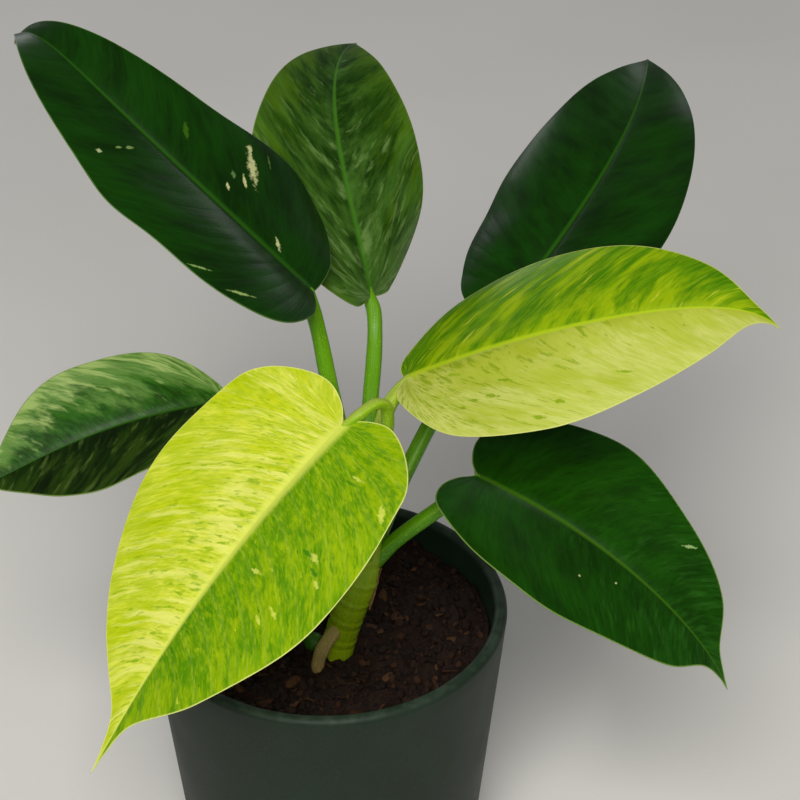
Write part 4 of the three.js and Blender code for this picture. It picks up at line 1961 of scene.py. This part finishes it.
    def loose(self) -> Object:
        """Crumbs, flakes of bark and fibres that lie on the bed.

        Returns:
            All of them as one piece, tied to the frame.
        """
        rng = np.random.default_rng(23)
        ball = bmesh.new()
        bmesh.ops.create_icosphere(ball, subdivisions=2, radius=1)
        ball_points = np.array([vertex.co[:] for vertex in ball.verts])
        faces = np.array([[corner.index for corner in face.verts] for face in ball.faces])
        ball.free()
        skin = Skin("tone")
        spots = self.spots(self.crumbs + self.flakes, rng)
        heights = self.height(spots[:, 0], spots[:, 1])
        for number, ((x, y), z) in enumerate(zip(spots, heights)):
            flake = number >= self.crumbs
            size = rng.uniform(1.2, 3.4) if flake else 0.4 + 1.7 * rng.random() ** 2.8
            if flake:
                shape = np.array([1.0, rng.uniform(0.4, 0.7), rng.uniform(0.12, 0.22)])
            else:
                shape = rng.uniform(0.6, 1.1, 3)
            waves, starts = rng.normal(0, 2.2, (3, 3)), rng.uniform(0, 6.3, 3)
            rough = 1 + 0.14 * np.sin(ball_points @ waves.T + starts).sum(axis=1)
            rough = rough + rng.uniform(-0.07, 0.07, len(ball_points))
            points = ball_points * rough[:, None] * shape * size
            turn, tip, lean = rng.uniform(0, 2 * math.pi), rng.normal(0, 0.45), rng.normal(0, 0.45)
            turned = Euler((0, 0, turn)).to_matrix() @ Euler((tip, 0, 0)).to_matrix()
            spin = np.array(turned @ Euler((0, lean, 0)).to_matrix())
            points = points @ spin.T + [x, y, z + 0.35 * size * shape[2]]
            tone = np.tile([rng.random(), rng.uniform(0.3, 1.0) if flake else 0.0], (len(points), 1))
            skin.add(points, faces, tone=tone)
        self.add_fibres(skin, rng)
        return settle(skin.make("soil_crumbs", weld=False), None, self.material)

    def add_fibres(self, skin: Skin, rng: np.random.Generator) -> None:
        """Adds thin bent fibres.

        Args:
            skin: The piece that they are added to.
            rng: Where the random numbers come from.
        """
        turn = np.linspace(0, 2 * math.pi, 5, endpoint=False)
        for x, y in self.spots(self.fibres, rng):
            length, heading, bend = rng.uniform(4, 11), rng.uniform(0, 6.3), rng.normal(0, 1.2)
            s = np.linspace(-0.5, 0.5, self.fibre_steps)
            angle = heading + bend * s
            step, room = length / self.fibre_steps, self.fibre_room
            px = np.clip(x + np.cumsum(np.cos(angle)) * step, -room, room)
            py = np.clip(y + np.cumsum(np.sin(angle)) * step, -room, room)
            pz = self.height(px, py) + 0.5 + 0.8 * (0.25 - s**2)
            path = np.stack([px, py, pz], axis=1)
            taper = np.sin(np.linspace(0.25, math.pi - 0.25, self.fibre_steps))
            radius = rng.uniform(0.12, 0.26) * taper
            beside = unit(np.stack([-np.sin(angle), np.cos(angle), 0 * angle], axis=1))
            up = np.array([0, 0, 1.0])
            ring = np.cos(turn)[None, :, None] * beside[:, None, :] + np.sin(turn)[None, :, None] * up
            points = path[:, None, :] + radius[:, None, None] * ring
            tone = np.tile([rng.random(), rng.uniform(0.5, 1.0)], (*points.shape[:2], 1))
            skin.grid(points, flip=True, wrap=True, tone=tone)

    def build(self) -> list[Object]:
        """Makes the bed and what lies on it."""
        return [self.bed(), self.loose()]


# Studio


@dataclass(frozen=True)
class Lamp:
    """A soft square light that looks at a point above the pot.

    Attributes:
        name: Its name.
        place: Where it is, in metres.
        size: Its side, in metres.
        power: Its power, in watts.
        colour: Its colour.
    """

    name: str
    place: Point
    size: float
    power: float
    colour: tuple[float, float, float] = (1.0, 1.0, 1.0)


@dataclass
class Studio:
    """The pale floor, the lights and the camera, all in metres.

    Attributes:
        lamps: The lights.
        target: The point that they look at.
        camera_place: Where the camera is.
        camera_tilt: How far it is tipped up from straight down.
        lens: Its focal length, in millimetres.
        sensor: Its sensor's width, in millimetres.
        sky: The even sky's colour.
        ambient: The sky's strength.
        floor_reach: How far the floor goes each way, in millimetres.
    """

    lamps: tuple[Lamp, ...] = (
        Lamp("key", (-0.1, -1.15, 1.35), 0.8, 27.0, (1.0, 0.99, 0.95)),
        Lamp("back_right", (0.6, 1.2, 0.7), 0.4, 0.6, (0.97, 0.98, 1.0)),
        Lamp("back_left", (-0.5, 1.3, 0.65), 0.4, 1.0, (0.97, 0.98, 1.0)),
    )
    target: Point = (0.02, 0.0, 0.19)
    camera_place: Point = (0.026, -0.571, 0.575)
    camera_tilt: float = 57.2
    lens: float = 90.0
    sensor: float = 36.0
    sky: tuple[float, float, float] = (0.95, 0.97, 1.0)
    ambient: float = 0.14
    floor_reach: float = 4000.0

    def floor(self) -> None:
        """A plain pale floor."""
        skin = Skin()
        across = np.linspace(-self.floor_reach, self.floor_reach, 9)
        x, y = np.meshgrid(across, across, indexing="ij")
        skin.grid(np.stack([x, y, 0 * x], axis=-1))
        floor = skin.make("floor")
        graph = Graph("floor_paper")
        cloud = graph.noise(graph.place(), 3.0, 3.0)
        colour = graph.mix(graph.fade(cloud, 0.3, 0.7), linear((230, 227, 222)), linear((236, 233, 229)))
        grain = graph.noise(graph.place(), 800.0, 2.0)
        graph.shade(Base_Color=colour, Roughness=0.8, Normal=graph.bump(grain, 0.05))
        floor.data.materials.append(graph.material)

    def light(self) -> None:
        """Soft lights and an even sky."""
        for lamp in self.lamps:
            data = bpy.data.lights.new(lamp.name, "AREA")
            data.shape = "SQUARE"
            data.size = lamp.size
            data.energy = lamp.power
            data.color = lamp.colour
            made = bpy.data.objects.new(lamp.name, data)
            away = np.array(lamp.place) - np.array(self.target)
            made.location = lamp.place
            flat = math.hypot(away[0], away[1])
            made.rotation_euler = (math.atan2(flat, away[2]), 0, math.atan2(away[0], -away[1]))
            bpy.context.scene.collection.objects.link(made)
        world = bpy.data.worlds.new("studio")
        world.use_nodes = True
        sky = world.node_tree.nodes["Background"]
        sky.inputs["Color"].default_value = (*self.sky, 1)
        sky.inputs["Strength"].default_value = self.ambient
        bpy.context.scene.world = world

    def camera(self) -> None:
        """The camera at the photograph's angle."""
        data = bpy.data.cameras.new("camera")
        data.lens = self.lens
        data.sensor_width = self.sensor
        data.dof.use_dof = False
        made = bpy.data.objects.new("camera", data)
        made.location = self.camera_place
        made.rotation_euler = (math.radians(self.camera_tilt), 0, 0)
        bpy.context.scene.collection.objects.link(made)
        bpy.context.scene.camera = made

    def build(self) -> None:
        """Sets up the studio."""
        self.camera()
        self.floor()
        self.light()
        bpy.context.scene.view_settings.view_transform = "Standard"


def main() -> None:
    """Builds the dressed part in its studio, and reports each piece."""
    logging.basicConfig(level=logging.INFO, format="%(name)s %(message)s", stream=sys.stdout)
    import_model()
    Studio().build()
    pot = Pot()
    pot.build()
    Soil(pot).build()
    Stem().build()
    for shape in LEAVES:
        Stalk(shape).build()
        Blade(shape).build()
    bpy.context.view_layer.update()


if __name__ == "__main__":
    main()
